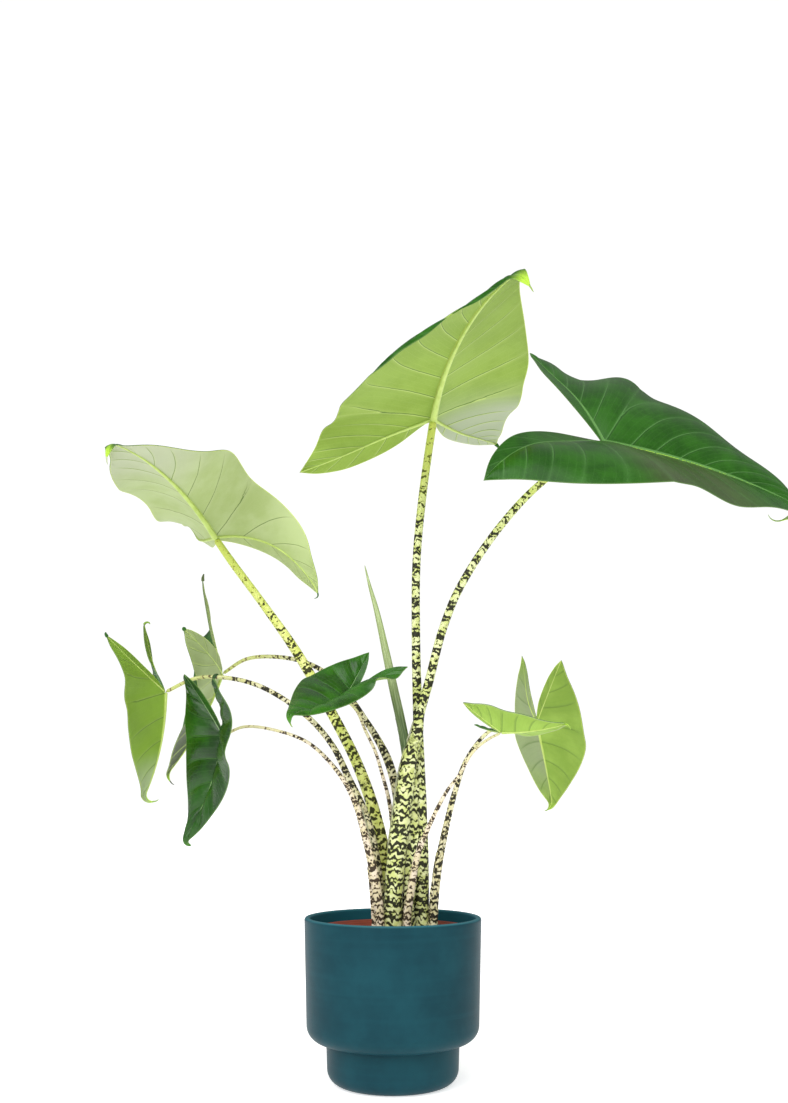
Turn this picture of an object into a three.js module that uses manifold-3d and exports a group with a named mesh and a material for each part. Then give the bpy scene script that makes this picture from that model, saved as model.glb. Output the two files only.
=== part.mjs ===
// Potted alocasia zebrina: nine arrow-shaped leaves on zebra-marked stalks and one rolled new leaf,
// in a plastic nursery pot full of soil, standing in a teal ceramic cover pot.
//
// Units are millimetres and +Z is up. The origin is the middle of the cover pot's underside.
// The front of the plant, as first seen, faces -Y, and +X is to its right.

import * as THREE from "three";
import { mergeVertices } from "three/addons/utils/BufferGeometryUtils.js";
import Module from "manifold-3d";

const wasm = await Module();
wasm.setup();

// Driving dimensions

// Smallest free space kept between two neighbouring solids.
const CLEARANCE = 0.3;

// Blades are thin sheets of one thickness.
const BLADE_THICKNESS = 0.8;

const COVER_POT = {
  segments: 44,
  rimRadius: 106,
  height: 200,
  rimRounding: 3,
  wall: 7,
  bodyFootRadius: 103.6,
  bodyBottom: 51.5,
  bodyRounding: 20,
  footTopRadius: 80,
  footRadius: 79,
  footRounding: 19,
  floor: 8,
  insideFootRadius: 73,
  insideRounding: 13,
};

const NURSERY_POT = {
  segments: 40,
  bottomRadius: 62,
  shoulderRadius: 90,
  rimRadius: 95,
  rimBand: 9,
  rimLip: 2.5,
  top: 187,
  wall: 1.5,
};

const SOIL = {
  edge: 169,
  crown: 173,
  stemDepth: 36,
};

// Points along a blade: on the midrib from tip to stalk, on each back lobe, and across each half.
const LARGE_SHEET = { front: 13, lobe: 10, across: 4 };
const SMALL_SHEET = { front: 10, lobe: 8, across: 4 };

// Half outline of the flat blade. The front part counts across in half widths and along from the
// shoulder (0) to the tip (1). From the shoulder the lobe narrows to its own tip over these shares of
// its length. The sinus margin counts along and across in lobe lengths.
const FRONT_OUTLINE = [[0, 1], [0.17, 0.825], [0.46, 0.575], [0.77, 0.288], [1, 0]];
const LOBE_STEPS = [0.2, 0.42, 0.66, 0.86, 1];
const SINUS_OUTLINE = [[0.3, -0.09], [0.62, -0.09], [0.86, -0.05], [1, 0]];

// Where along the midrib its tip starts to curl, how far front and lobe shapes blend into each other,
// over what share of a lobe it lifts, and how the sinus margins hang (radians).
const TIP_CURL_START = 0.86;
const BLEND_REACH = 0.45;
const LIFT_REACH = 0.6;
const SINUS_DROOP = 0.25;

// One entry for each leaf. Blade: "at" is where the stalk meets the blade; heading, climb and roll turn
// it (degrees); length is the midrib and lobe the rib of a back lobe (mm). Width is half the blade at
// its shoulder, and shoulder how far in front of the stalk that is, both as shares of the length. Web is
// the joined tissue behind the stalk. Droop, curl and sweep bend the midrib; fold lifts both halves into
// a V at the stalk, foldTip at the tip; twist turns the front part. Pairs hold the right and the left
// half: fullness is how long a lobe stays wide, cup bends a half across, spread opens its lobe from
// straight back, lift and bend raise the lobe, turn rolls it. Waves ripple the margin: count, height
// and phase.
// Stalk: [x, y, z, radius] from the soil up; it starts straight down in the soil at the first x and y.
const LEAVES = [
  {
    name: "leaf_1",
    sheet: LARGE_SHEET,
    at: [49, 40, 809],
    heading: -84, climb: 25, roll: -12,
    length: 328, lobe: 190, width: 0.36, shoulder: 0.20, web: 0.02,
    droop: 30, curl: 58, sweep: -13, fold: 10, foldTip: 6, twist: -26,
    fullness: [0.72, 0.89], cup: [-35, -29],
    spread: [58, 44], lift: [-12, 21],
    bend: [16, -11], turn: [55, 0],
    waves: [4, 2.5, 0.4],
    stalkSides: 10,
    stalk: [
      [34, -6, 205, 9.6], [34, -4, 280, 8.6], [32, -1, 352, 7.8], [30, 5, 436, 5.8],
      [28, 16, 533, 5.1], [29, 28, 633, 4.8], [36, 36, 709, 4.6], [43, 40, 762, 4.2],
    ],
    stalkTop: 4,
  },
  {
    name: "leaf_2",
    sheet: LARGE_SHEET,
    at: [-221, 60, 667],
    heading: -108, climb: 27, roll: -9,
    length: 300, lobe: 187, width: 0.25, shoulder: 0.35, web: 0.04,
    droop: 37, curl: 54, sweep: 1, fold: 35, foldTip: -33, twist: 2,
    fullness: [0.66, 0.59], cup: [-66, 23],
    spread: [54, 53], lift: [27, -52],
    bend: [-8, -56], turn: [6, 14],
    waves: [4, 2.5, 1.2],
    stalkSides: 10,
    stalk: [
      [-5, 8, 201, 8.1], [-10, 10, 267, 8.1], [-22, 13, 323, 7.5], [-44, 20, 385, 6.7],
      [-75, 30, 446, 6.4], [-119, 42, 522, 6], [-161, 52, 582, 5], [-201, 57, 636, 4.8],
    ],
    stalkTop: 4.2,
  },
  {
    name: "leaf_3",
    sheet: LARGE_SHEET,
    at: [247, -40, 758],
    heading: 7, climb: -8, roll: -36,
    length: 279, lobe: 223, width: 0.42, shoulder: 0.33, web: 0.02,
    droop: 18, curl: 120, sweep: -4, fold: 20, foldTip: 16, twist: -15,
    fullness: [2.16, 1.24], cup: [-51, -47],
    spread: [42, 70], lift: [36, -20],
    bend: [-85, 5], turn: [-12, -10],
    waves: [4, 2.5, 2.6],
    stalkSides: 12,
    stalk: [
      [0, -20, 204, 11], [1, -20, 233, 11], [6, -19, 287, 11.6], [13, -18, 340, 11],
      [20, -16, 391, 9.4], [28, -14, 417, 7.6], [32, -12, 442, 5.7], [43, -8, 481, 5.4],
      [59, -3, 542, 5], [80, 0, 594, 4.8], [128, 0, 667, 4.6], [181, -5, 722, 4.2],
    ],
    stalkTop: 3.6,
  },
  {
    name: "leaf_4",
    sheet: LARGE_SHEET,
    at: [-273, -5, 469],
    heading: -92, climb: -97, roll: -86,
    length: 142, lobe: 116, width: 0.41, shoulder: 0.29, web: 0.03,
    droop: -27, curl: 107, sweep: 3, fold: 38, foldTip: 30, twist: -16,
    fullness: [1.46, 0.78], cup: [-15, -12],
    spread: [44, 54], lift: [-2, 4],
    bend: [-16, -12], turn: [0, -19],
    waves: [3, 1.5, 0.8],
    stalkSides: 8,
    stalk: [
      [-16, -5, 220, 6.6], [-23, -5, 280, 6], [-34, -4, 324, 5.1], [-53, -2, 366, 4.2],
      [-73, -4, 406, 3.6], [-104, -5, 441, 3.3], [-157, -5, 475, 2.8], [-200, -6, 486, 2.5],
      [-237, -5, 485, 2.2],
    ],
    stalkTop: 2.1,
  },
  {
    name: "leaf_5",
    sheet: LARGE_SHEET,
    at: [-217, 85, 499],
    heading: 131, climb: -59, roll: 65,
    length: 171, lobe: 133, width: 0.38, shoulder: 0.18, web: 0.05,
    droop: -21, curl: 52, sweep: 2, fold: 28, foldTip: 32, twist: -20,
    fullness: [1.46, 0.91], cup: [-15, -10],
    spread: [51, 55], lift: [2, 4],
    bend: [-8, 19], turn: [0, 5],
    waves: [3, 1.5, 2.2],
    stalkSides: 8,
    stalk: [
      [12, 12, 218, 6], [10, 13, 279, 5.5], [5, 16, 345, 5.5], [-7, 22, 390, 5.2],
      [-34, 36, 438, 3.7], [-70, 52, 486, 3.3], [-104, 66, 509, 2.9], [-144, 76, 519, 2.6],
      [-186, 84, 517, 2.3],
    ],
    stalkTop: 2.1,
  },
  {
    name: "leaf_6",
    sheet: LARGE_SHEET,
    at: [-196, -60, 415],
    heading: -42, climb: -101, roll: -106,
    length: 140, lobe: 89, width: 0.41, shoulder: 0.22, web: 0.06,
    droop: -26, curl: 90, sweep: 9, fold: 24, foldTip: -1, twist: 14,
    fullness: [1.04, 1.51], cup: [-16, -26],
    spread: [46, 37], lift: [5, 22],
    bend: [3, -7], turn: [-4, -24],
    waves: [3, 1.5, 1.6],
    stalkSides: 8,
    stalk: [
      [-16, -27, 205, 5.9], [-22, -28, 252, 5.5], [-32, -30, 296, 4.7], [-45, -34, 339, 3.5],
      [-62, -38, 370, 2.6], [-97, -44, 406, 2], [-135, -50, 421, 1.8], [-172, -56, 425, 1.7],
    ],
    stalkTop: 1.6,
  },
  {
    name: "leaf_7",
    sheet: SMALL_SHEET,
    at: [-56, -50, 459],
    heading: -123, climb: -17, roll: 3,
    length: 124, lobe: 82, width: 0.42, shoulder: 0.13, web: 0.06,
    droop: -11, curl: 104, sweep: -6, fold: 33, foldTip: 4, twist: 17,
    fullness: [1.62, 1.25], cup: [-23, -49],
    spread: [20, 54], lift: [19, 17],
    bend: [16, -40], turn: [-4, -38],
    waves: [3, 1, 0.5],
    stalkSides: 8,
    stalk: [
      [2, 22, 218, 3.5], [0, 16, 291, 2.8], [-4, 6, 335, 2.4], [-14, -12, 375, 2],
      [-21, -24, 398, 1.9], [-32, -34, 421, 1.8], [-42, -44, 444, 1.7],
    ],
    stalkTop: 1.6,
  },
  {
    name: "leaf_8",
    sheet: LARGE_SHEET,
    at: [173, 0, 433],
    heading: 58, climb: -63, roll: -20,
    length: 125, lobe: 89, width: 0.45, shoulder: 0.28, web: 0.06,
    droop: -6, curl: 74, sweep: -11, fold: 21, foldTip: 8, twist: 15,
    fullness: [1.40, 1.29], cup: [-17, -21],
    spread: [31, 39], lift: [1, 26],
    bend: [2, -10], turn: [-1, -3],
    waves: [3, 1.5, 0.2],
    stalkSides: 8,
    stalk: [
      [48, -14, 204, 5.7], [53, -14, 255, 5], [62, -12, 302, 4.2], [75, -10, 353, 3.2],
      [90, -8, 392, 2.6], [117, -4, 423, 2.1], [152, 0, 433, 1.9],
    ],
    stalkTop: 1.8,
  },
  {
    name: "leaf_9",
    sheet: SMALL_SHEET,
    at: [123, -80, 418],
    heading: -26, climb: -3, roll: 24,
    length: 82, lobe: 55, width: 0.38, shoulder: 0.21, web: 0.06,
    droop: -15, curl: 33, sweep: 10, fold: 25, foldTip: 15, twist: 8,
    fullness: [1.45, 1.48], cup: [-16, -16],
    spread: [44, 33], lift: [5, 7],
    bend: [1, 6], turn: [3, 0],
    waves: [3, 0.8, 1.1],
    stalkSides: 8,
    stalk: [
      [17, -26, 205, 5.1], [21, -28, 232, 4.7], [29, -33, 276, 3.8], [41, -40, 307, 2.9],
      [62, -54, 350, 2], [76, -62, 369, 1.8], [91, -70, 395, 1.7], [107, -76, 409, 1.6],
    ],
    stalkTop: 1.5,
  },
];

// The rolled new leaf, from the foot of its sheath to its tip: [x, y, z, radius].
const SPEAR = {
  sides: 10,
  sections: 22,
  path: [
    [1, -20, 180, 3.6], [1, -20, 233, 3.8], [6, -20, 287, 4], [13, -20, 340, 4.2],
    [17, -20, 375, 4.6], [14, -20, 410, 5.6], [8, -18, 440, 5.8], [1, -15, 471, 5.6],
    [-8, -10, 514, 4.8], [-20, -5, 568, 3.2], [-28, -2, 597, 1.9], [-34, 0, 622, 0.5],
  ],
};

const FINISHES = {
  leaf: { color: 0x2f6b2a, roughness: 0.35, metalness: 0 },
  stalk: { color: 0xb4bf62, roughness: 0.5, metalness: 0 },
  spear: { color: 0x9cb57a, roughness: 0.45, metalness: 0 },
  ceramic: { color: 0x245462, roughness: 0.55, metalness: 0 },
  plastic: { color: 0xa54128, roughness: 0.5, metalness: 0 },
  soil: { color: 0x33261c, roughness: 0.95, metalness: 0 },
};

// Small mathematical helpers

const radians = THREE.MathUtils.degToRad;

/** Smooth step from 0 to 1. */
function smooth(t) {
  const x = THREE.MathUtils.clamp(t, 0, 1);
  return x * x * (3 - 2 * x);
}

/** Sum of vectors, each times its own factor: blendOf(v1, f1, v2, f2, ...). */
function blendOf(...terms) {
  const sum = new THREE.Vector3();
  for (let i = 0; i < terms.length; i += 2) {
    sum.addScaledVector(terms[i], terms[i + 1]);
  }
  return sum;
}

/** Evenly spread parameters from 0 to 1, both ends included. */
function evenly(count) {
  return Array.from({ length: count }, (_, i) => i / (count - 1));
}

/** Points on the smooth curve through flat points. */
function curveThrough(points, count) {
  const knots = points.map(([x, y]) => new THREE.Vector3(x, y, 0));
  const curve = new THREE.CatmullRomCurve3(knots, false, "catmullrom", 0.5);
  return evenly(count).map((t) => curve.getPoint(t));
}

/** Points of a circular arc in a lathe profile, angles in degrees. */
function arc(radius, height, size, from, to, count) {
  return evenly(count).map((t) => {
    const angle = radians(from + (to - from) * t);
    return [radius + size * Math.cos(angle), height + size * Math.sin(angle)];
  });
}

// Mesh helpers

/** Geometry of merged vertices without empty triangles, with its faces outward. */
function closedGeometry(source) {
  source.deleteAttribute("normal");
  source.deleteAttribute("uv");
  const merged = mergeVertices(source, 1e-4);
  const index = merged.getIndex().array;
  const kept = [];
  for (let i = 0; i < index.length; i += 3) {
    const [a, b, c] = [index[i], index[i + 1], index[i + 2]];
    if (a !== b && b !== c && c !== a) {
      kept.push(a, b, c);
    }
  }
  merged.setIndex(kept);
  if (signedVolume(merged) < 0) {
    for (let i = 0; i < kept.length; i += 3) {
      [kept[i], kept[i + 1]] = [kept[i + 1], kept[i]];
    }
    merged.setIndex(kept);
  }
  return merged;
}

/** Volume inside a closed geometry, negative where its faces point inward. */
function signedVolume(geometry) {
  const position = geometry.getAttribute("position");
  const index = geometry.getIndex().array;
  const [a, b, c] = [new THREE.Vector3(), new THREE.Vector3(), new THREE.Vector3()];
  let sum = 0;
  for (let i = 0; i < index.length; i += 3) {
    a.fromBufferAttribute(position, index[i]);
    b.fromBufferAttribute(position, index[i + 1]);
    c.fromBufferAttribute(position, index[i + 2]);
    sum += a.dot(b.cross(c)) / 6;
  }
  return sum;
}

/** Closed geometry from a list of points and a list of index triples. */
function geometryOf(points, triangles) {
  const geometry = new THREE.BufferGeometry();
  const flat = points.flatMap((p) => [p.x, p.y, p.z]);
  geometry.setAttribute("position", new THREE.Float32BufferAttribute(flat, 3));
  geometry.setIndex(triangles.flat());
  return closedGeometry(geometry);
}

/** The same shape as a solid for booleans. */
function toSolid(geometry) {
  const vertProperties = new Float32Array(geometry.getAttribute("position").array);
  const triVerts = new Uint32Array(geometry.getIndex().array);
  return new wasm.Manifold(new wasm.Mesh({ numProp: 3, vertProperties, triVerts }));
}

/** Geometry of a solid's largest body. */
function fromSolid(solid) {
  const bodies = solid.decompose();
  bodies.sort((first, second) => second.volume() - first.volume());
  const mesh = bodies[0].getMesh();
  const geometry = new THREE.BufferGeometry();
  geometry.setAttribute("position", new THREE.Float32BufferAttribute(mesh.vertProperties, 3));
  geometry.setIndex(Array.from(mesh.triVerts));
  return closedGeometry(geometry);
}

/** Solid of revolution about Z from [radius, height] points. */
function turned(profile, segments) {
  const points = profile.map(([radius, height]) => new THREE.Vector2(radius, height));
  const geometry = new THREE.LatheGeometry(points, segments);
  geometry.rotateX(Math.PI / 2);
  return closedGeometry(geometry);
}

/** Round bar of changing radius along [x, y, z, radius] knots, closed at both ends. */
function taperedBar(knots, sides, sections, grow = 0) {
  const curve = new THREE.CatmullRomCurve3(knots.map(([x, y, z]) => new THREE.Vector3(x, y, z)));
  const frames = curve.computeFrenetFrames(sections, false);
  const points = [];
  const triangles = [];
  for (let i = 0; i <= sections; i += 1) {
    const t = curve.getUtoTmapping(i / sections);
    const centre = curve.getPoint(t);
    const place = Math.min(t * (knots.length - 1), knots.length - 1.0001);
    const knot = Math.floor(place);
    const radius = THREE.MathUtils.lerp(knots[knot][3], knots[knot + 1][3], place - knot) + grow;
    for (let j = 0; j < sides; j += 1) {
      const angle = (2 * Math.PI * j) / sides;
      const out = blendOf(frames.normals[i], Math.cos(angle), frames.binormals[i], Math.sin(angle));
      points.push(centre.clone().addScaledVector(out, radius));
    }
  }
  const ring = (i, j) => i * sides + (j % sides);
  for (let i = 0; i < sections; i += 1) {
    for (let j = 0; j < sides; j += 1) {
      triangles.push([ring(i, j), ring(i, j + 1), ring(i + 1, j + 1)]);
      triangles.push([ring(i, j), ring(i + 1, j + 1), ring(i + 1, j)]);
    }
  }
  for (let j = 1; j < sides - 1; j += 1) {
    triangles.push([ring(0, 0), ring(0, j + 1), ring(0, j)]);
    triangles.push([ring(sections, 0), ring(sections, j), ring(sections, j + 1)]);
  }
  return geometryOf(points, triangles);
}

// Blades. In its own axes a blade has X to its right, Y along the midrib and Z out of its upper side.

const AXIS = {
  across: new THREE.Vector3(1, 0, 0),
  along: new THREE.Vector3(0, 1, 0),
  up: new THREE.Vector3(0, 0, 1),
};

/** Position and turn of a blade in the plant. */
function bladePlacement(leaf) {
  const [heading, climb, roll] = [leaf.heading, leaf.climb, leaf.roll].map(radians);
  const along = new THREE.Vector3(
    Math.cos(climb) * Math.cos(heading),
    Math.cos(climb) * Math.sin(heading),
    Math.sin(climb),
  );
  const level = new THREE.Vector3(Math.sin(heading), -Math.cos(heading), 0);
  const rise = level.clone().cross(along);
  const across = blendOf(level, Math.cos(roll), rise, Math.sin(roll));
  const up = blendOf(rise, Math.cos(roll), level, -Math.sin(roll));
  const basis = new THREE.Matrix4().makeBasis(across, along, up);
  return {
    position: new THREE.Vector3(...leaf.at),
    quaternion: new THREE.Quaternion().setFromRotationMatrix(basis),
    up,
  };
}

/** A curve walked from the origin: its points and the three directions at each of them. */
function walk(steps, length, directionsAt) {
  const path = evenly(steps + 1).map(directionsAt);
  path[0].point = new THREE.Vector3();
  for (let i = 1; i <= steps; i += 1) {
    const half = length / steps / 2;
    path[i].point = path[i - 1].point
      .clone()
      .addScaledVector(path[i - 1].along, half)
      .addScaledVector(path[i].along, half);
  }
  return path;
}

/** The bent midrib from the stalk to the tip. */
function midribOf(leaf) {
  return walk(200, leaf.length, (y) => {
    const bend = -radians(leaf.droop) * y
      - radians(leaf.curl) * smooth((y - TIP_CURL_START) / (1 - TIP_CURL_START));
    const sweep = radians(leaf.sweep) * y;
    const along = blendOf(
      AXIS.along, Math.cos(sweep) * Math.cos(bend),
      AXIS.up, Math.cos(sweep) * Math.sin(bend),
      AXIS.across, Math.sin(sweep),
    );
    const up = blendOf(AXIS.up, Math.cos(bend), AXIS.along, -Math.sin(bend));
    const across = along.clone().cross(up);
    const twist = radians(leaf.twist) * y;
    return {
      along,
      across: blendOf(across, Math.cos(twist), up, Math.sin(twist)),
      up: blendOf(up, Math.cos(twist), across, -Math.sin(twist)),
    };
  });
}

/** The rib of one back lobe; side is 1 for the right half and -1 for the left one. */
function lobeRibOf(leaf, side) {
  const half = side > 0 ? 0 : 1;
  const fold = radians(leaf.fold);
  const spread = radians(leaf.spread[half]);
  const outward = blendOf(AXIS.across, side * Math.cos(fold), AXIS.up, Math.sin(fold));
  const upward = blendOf(AXIS.up, Math.cos(fold), AXIS.across, -side * Math.sin(fold));
  const backward = blendOf(outward, Math.sin(spread), AXIS.along, -Math.cos(spread));
  const sideward = blendOf(outward, Math.cos(spread), AXIS.along, Math.sin(spread));
  return walk(60, leaf.lobe, (s) => {
    const rise = radians(leaf.lift[half]) * smooth(s / LIFT_REACH) + radians(leaf.bend[half]) * s;
    const turn = radians(leaf.turn[half]) * smooth(s / LIFT_REACH);
    const along = blendOf(backward, Math.cos(rise), upward, Math.sin(rise));
    const up = blendOf(upward, Math.cos(rise), backward, -Math.sin(rise));
    return {
      along,
      across: blendOf(sideward, Math.cos(turn), up, Math.sin(turn)),
      up: blendOf(up, Math.cos(turn), sideward, -Math.sin(turn)),
    };
  });
}

/** Steps of a line across the blade that leaves its rib and bends by the cup angle. */
function crossLine(offset, along, across, up, cup, count) {
  const steps = evenly(count).map((t) => {
    const angle = cup * (t - 0.3);
    return blendOf(
      along, offset.along,
      across, offset.across * Math.cos(angle),
      up, offset.across * Math.sin(angle),
    );
  });
  const line = [new THREE.Vector3()];
  for (let j = 1; j < count; j += 1) {
    const half = 0.5 / (count - 1);
    line.push(line[j - 1].clone().addScaledVector(steps[j - 1], half).addScaledVector(steps[j], half));
  }
  return line;
}

/** Rows of points of one half: from the tip along the midrib, then along the lobe rib. */
function halfBlade(leaf, side, midrib) {
  const sheet = leaf.sheet;
  const half = side > 0 ? 0 : 1;
  const rib = lobeRibOf(leaf, side);
  const spread = radians(leaf.spread[half]);
  const back = new THREE.Vector2(Math.sin(spread), -Math.cos(spread));
  const out = new THREE.Vector2(Math.cos(spread), Math.sin(spread));
  const inLobe = (a, b) => [back.x * a + out.x * b, back.y * a + out.y * b];
  const front = FRONT_OUTLINE.map(([x, y]) => [
    x * leaf.width * leaf.length,
    (leaf.shoulder + (1 - leaf.shoulder) * y) * leaf.length,
  ]);
  const shoulder = new THREE.Vector2(...front[front.length - 1]);
  const start = shoulder.dot(back);
  const lobeSide = LOBE_STEPS.map((f) => inLobe(
    start + (leaf.lobe - start) * f,
    shoulder.dot(out) * (1 - f ** leaf.fullness[half]),
  ));
  const outline = [...front, ...lobeSide];
  const rows = sheet.front + sheet.lobe - 1;
  const margin = curveThrough(outline, rows);
  const grid = [];
  for (let i = 0; i < rows; i += 1) {
    const onMidrib = i < sheet.front;
    const y = onMidrib ? 1 - i / (sheet.front - 1) : 0;
    const s = onMidrib ? 0 : (i - sheet.front + 1) / (sheet.lobe - 1);
    const spine = onMidrib
      ? new THREE.Vector2(0, y * leaf.length)
      : back.clone().multiplyScalar(s * leaf.lobe);
    const offset = new THREE.Vector2(margin[i].x, margin[i].y).sub(spine);
    const here = midrib[Math.round(y * (midrib.length - 1))];
    const there = rib[Math.round(s * (rib.length - 1))];
    const cup = radians(leaf.cup[half]);
    const fold = radians(THREE.MathUtils.lerp(leaf.fold, leaf.foldTip, y));
    const frontLine = crossLine(
      { along: offset.y, across: offset.x },
      here.along,
      blendOf(here.across, side * Math.cos(fold), here.up, Math.sin(fold)),
      blendOf(here.up, Math.cos(fold), here.across, -side * Math.sin(fold)),
      cup,
      sheet.across,
    );
    const lobeLine = crossLine(
      { along: offset.dot(back), across: offset.dot(out) },
      there.along,
      there.across,
      there.up,
      cup,
      sheet.across,
    );
    const share = smooth((BLEND_REACH - y + s) / (2 * BLEND_REACH));
    const root = onMidrib ? here.point : there.point;
    const line = frontLine.map((p, j) => blendOf(p, 1 - share, lobeLine[j], share));
    const drawn = line[sheet.across - 1].length();
    const stretch = drawn > 1e-6 ? Math.sqrt(THREE.MathUtils.clamp(offset.length() / drawn, 0.8, 1.3)) : 1;
    grid.push(line.map((p) => p.multiplyScalar(stretch).add(root)));
  }
  const sinusSide = SINUS_OUTLINE.map(([a, b]) => inLobe(a * leaf.lobe, b * leaf.lobe));
  const sinusOutline = [[0, -leaf.web * leaf.lobe], ...sinusSide];
  const sinus = curveThrough(sinusOutline, sheet.lobe).map((point, k) => {
    const s = k / (sheet.lobe - 1);
    const there = rib[Math.round(s * (rib.length - 1))];
    const offset = new THREE.Vector2(point.x, point.y).addScaledVector(back, -s * leaf.lobe);
    const reach = offset.dot(out);
    return blendOf(
      there.point, 1,
      there.along, offset.dot(back),
      there.across, reach * Math.cos(SINUS_DROOP),
      there.up, -reach * Math.sin(SINUS_DROOP),
    );
  });
  return { grid, sinus };
}

/** Lets both sinus margins start from one common point behind the stalk. */
function joinSinus(right, left) {
  const apex = right.sinus[0].clone().add(left.sinus[0]).multiplyScalar(0.5);
  for (const half of [right, left]) {
    const shift = apex.clone().sub(half.sinus[0]);
    half.sinus.forEach((point, k) => {
      point.addScaledVector(shift, 1 - smooth(k / (half.sinus.length - 1) / 0.45));
    });
  }
}

/** Middle sheet of a blade: points, triangles and how far each point lies from rib to margin. */
function bladeSheet(leaf) {
  const midrib = midribOf(leaf);
  const halves = [halfBlade(leaf, 1, midrib), halfBlade(leaf, -1, midrib)];
  joinSinus(...halves);
  const { front, lobe, across } = leaf.sheet;
  const rows = front + lobe - 1;
  const points = [];
  const marginShare = [];
  const triangles = [];
  const known = new Map();
  const vertex = (point, share, wave) => {
    const key = [point.x, point.y, point.z].map((value) => value.toFixed(4)).join(" ");
    if (!known.has(key)) {
      known.set(key, points.length);
      points.push(point);
      marginShare.push(share * wave);
    }
    return known.get(key);
  };
  halves.forEach(({ grid, sinus }, h) => {
    const wave = evenly(rows).map((q) => {
      const ends = smooth(q / 0.15) * smooth((1 - q) / 0.15);
      return ends * Math.sin(2 * Math.PI * leaf.waves[0] * q + leaf.waves[2] + h * 1.7);
    });
    const ids = grid.map((row, i) => row.map((p, j) => vertex(p, (j / (across - 1)) ** 2, wave[i])));
    const inner = sinus.map((p, k) => vertex(p, k > 0 && k < lobe - 1 ? 0.4 : 0, wave[front - 1 + k]));
    const face = (a, b, c) => {
      if (a !== b && b !== c && c !== a) {
        triangles.push(h === 0 ? [a, b, c] : [a, c, b]);
      }
    };
    const quad = (a, b, c, d) => {
      face(a, b, c);
      face(a, c, d);
    };
    for (let i = 0; i < rows - 1; i += 1) {
      for (let j = 0; j < across - 1; j += 1) {
        quad(ids[i][j], ids[i + 1][j], ids[i + 1][j + 1], ids[i][j + 1]);
      }
    }
    for (let k = 0; k < lobe - 1; k += 1) {
      quad(inner[k], inner[k + 1], ids[front + k][0], ids[front - 1 + k][0]);
    }
  });
  return { points, triangles, marginShare };
}

/** Direction out of the upper side at each point of a sheet. */
function sheetNormals(points, triangles) {
  const normals = points.map(() => new THREE.Vector3());
  for (const [a, b, c] of triangles) {
    const first = points[b].clone().sub(points[a]);
    const second = points[c].clone().sub(points[a]);
    const area = first.cross(second);
    [a, b, c].forEach((i) => normals[i].add(area));
  }
  return normals.map((normal) => normal.normalize());
}

/** Closed sheet of even thickness whose two faces are split into triangles alike. */
function thickened(points, triangles, thickness) {
  const normals = sheetNormals(points, triangles);
  const above = points.map((p, i) => p.clone().addScaledVector(normals[i], thickness / 2));
  const below = points.map((p, i) => p.clone().addScaledVector(normals[i], -thickness / 2));
  const count = points.length;
  const faces = [];
  const edges = new Set(triangles.flatMap(([a, b, c]) => [`${a} ${b}`, `${b} ${c}`, `${c} ${a}`]));
  for (const [a, b, c] of triangles) {
    faces.push([a, b, c], [c + count, b + count, a + count]);
    for (const [from, to] of [[a, b], [b, c], [c, a]]) {
      if (!edges.has(`${to} ${from}`)) {
        faces.push([to, from, from + count], [to, from + count, to + count]);
      }
    }
  }
  return geometryOf([...above, ...below], faces);
}

/** A blade in its own axes, a little thicker where a clearance is asked for. */
function bladeGeometry(leaf, thickness = BLADE_THICKNESS) {
  const { points, triangles, marginShare } = bladeSheet(leaf);
  const normals = sheetNormals(points, triangles);
  const waved = points.map((p, i) => p.clone().addScaledVector(normals[i], leaf.waves[1] * marginShare[i]));
  return thickened(waved, triangles, thickness);
}

// Stalks

/** Knots of a stalk from its foot in the soil to its blade's underside. */
function stalkKnots(leaf) {
  const placement = bladePlacement(leaf);
  const [x, y, , radius] = leaf.stalk[0];
  const end = placement.position.clone().addScaledVector(placement.up, -0.6 * leaf.stalkTop);
  return [
    [x, y, SOIL.edge - SOIL.stemDepth, radius],
    [x, y, SOIL.edge, radius],
    ...leaf.stalk,
    [end.x, end.y, end.z, leaf.stalkTop],
  ];
}

/** A stalk, cut free of its own blade. */
function stalkGeometry(leaf) {
  const knots = stalkKnots(leaf);
  const bar = taperedBar(knots, leaf.stalkSides, 2 * knots.length);
  const { position, quaternion } = bladePlacement(leaf);
  const blade = bladeGeometry(leaf, BLADE_THICKNESS + 2 * CLEARANCE);
  blade.applyMatrix4(new THREE.Matrix4().compose(position, quaternion, new THREE.Vector3(1, 1, 1)));
  return toSolid(bar).subtract(toSolid(blade));
}

/** The rolled new leaf. */
function spearGeometry() {
  return taperedBar(SPEAR.path, SPEAR.sides, SPEAR.sections);
}

/** The room the new leaf needs inside the sheath that holds it. */
function spearRoom() {
  return taperedBar(SPEAR.path, SPEAR.sides, SPEAR.sections, CLEARANCE + 0.1);
}

// Pots and soil

/** Outer and inner profile of the cover pot, from the underside round the rim to the floor. */
function coverPotProfile() {
  const p = COVER_POT;
  const rim = p.rimRounding;
  const bodyArc = p.bodyFootRadius - p.bodyRounding;
  const bodyArcHeight = p.bodyBottom + p.bodyRounding;
  const floorRounding = 12;
  return [
    [0, 0],
    ...arc(p.footRadius - p.footRounding, p.footRounding, p.footRounding, -90, 0, 5),
    [p.footTopRadius, p.bodyBottom],
    ...arc(bodyArc, bodyArcHeight, p.bodyRounding, -90, 0, 6),
    ...arc(p.rimRadius - rim, p.height - rim, rim, 0, 90, 4),
    ...arc(p.rimRadius - p.wall + rim, p.height - rim, rim, 90, 180, 4),
    ...arc(bodyArc, bodyArcHeight, p.insideRounding, 0, -90, 4),
    [p.insideFootRadius, p.bodyBottom + 6],
    ...arc(p.insideFootRadius - floorRounding, p.floor + floorRounding, floorRounding, 0, -90, 4),
    [0, p.floor],
  ];
}

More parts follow.
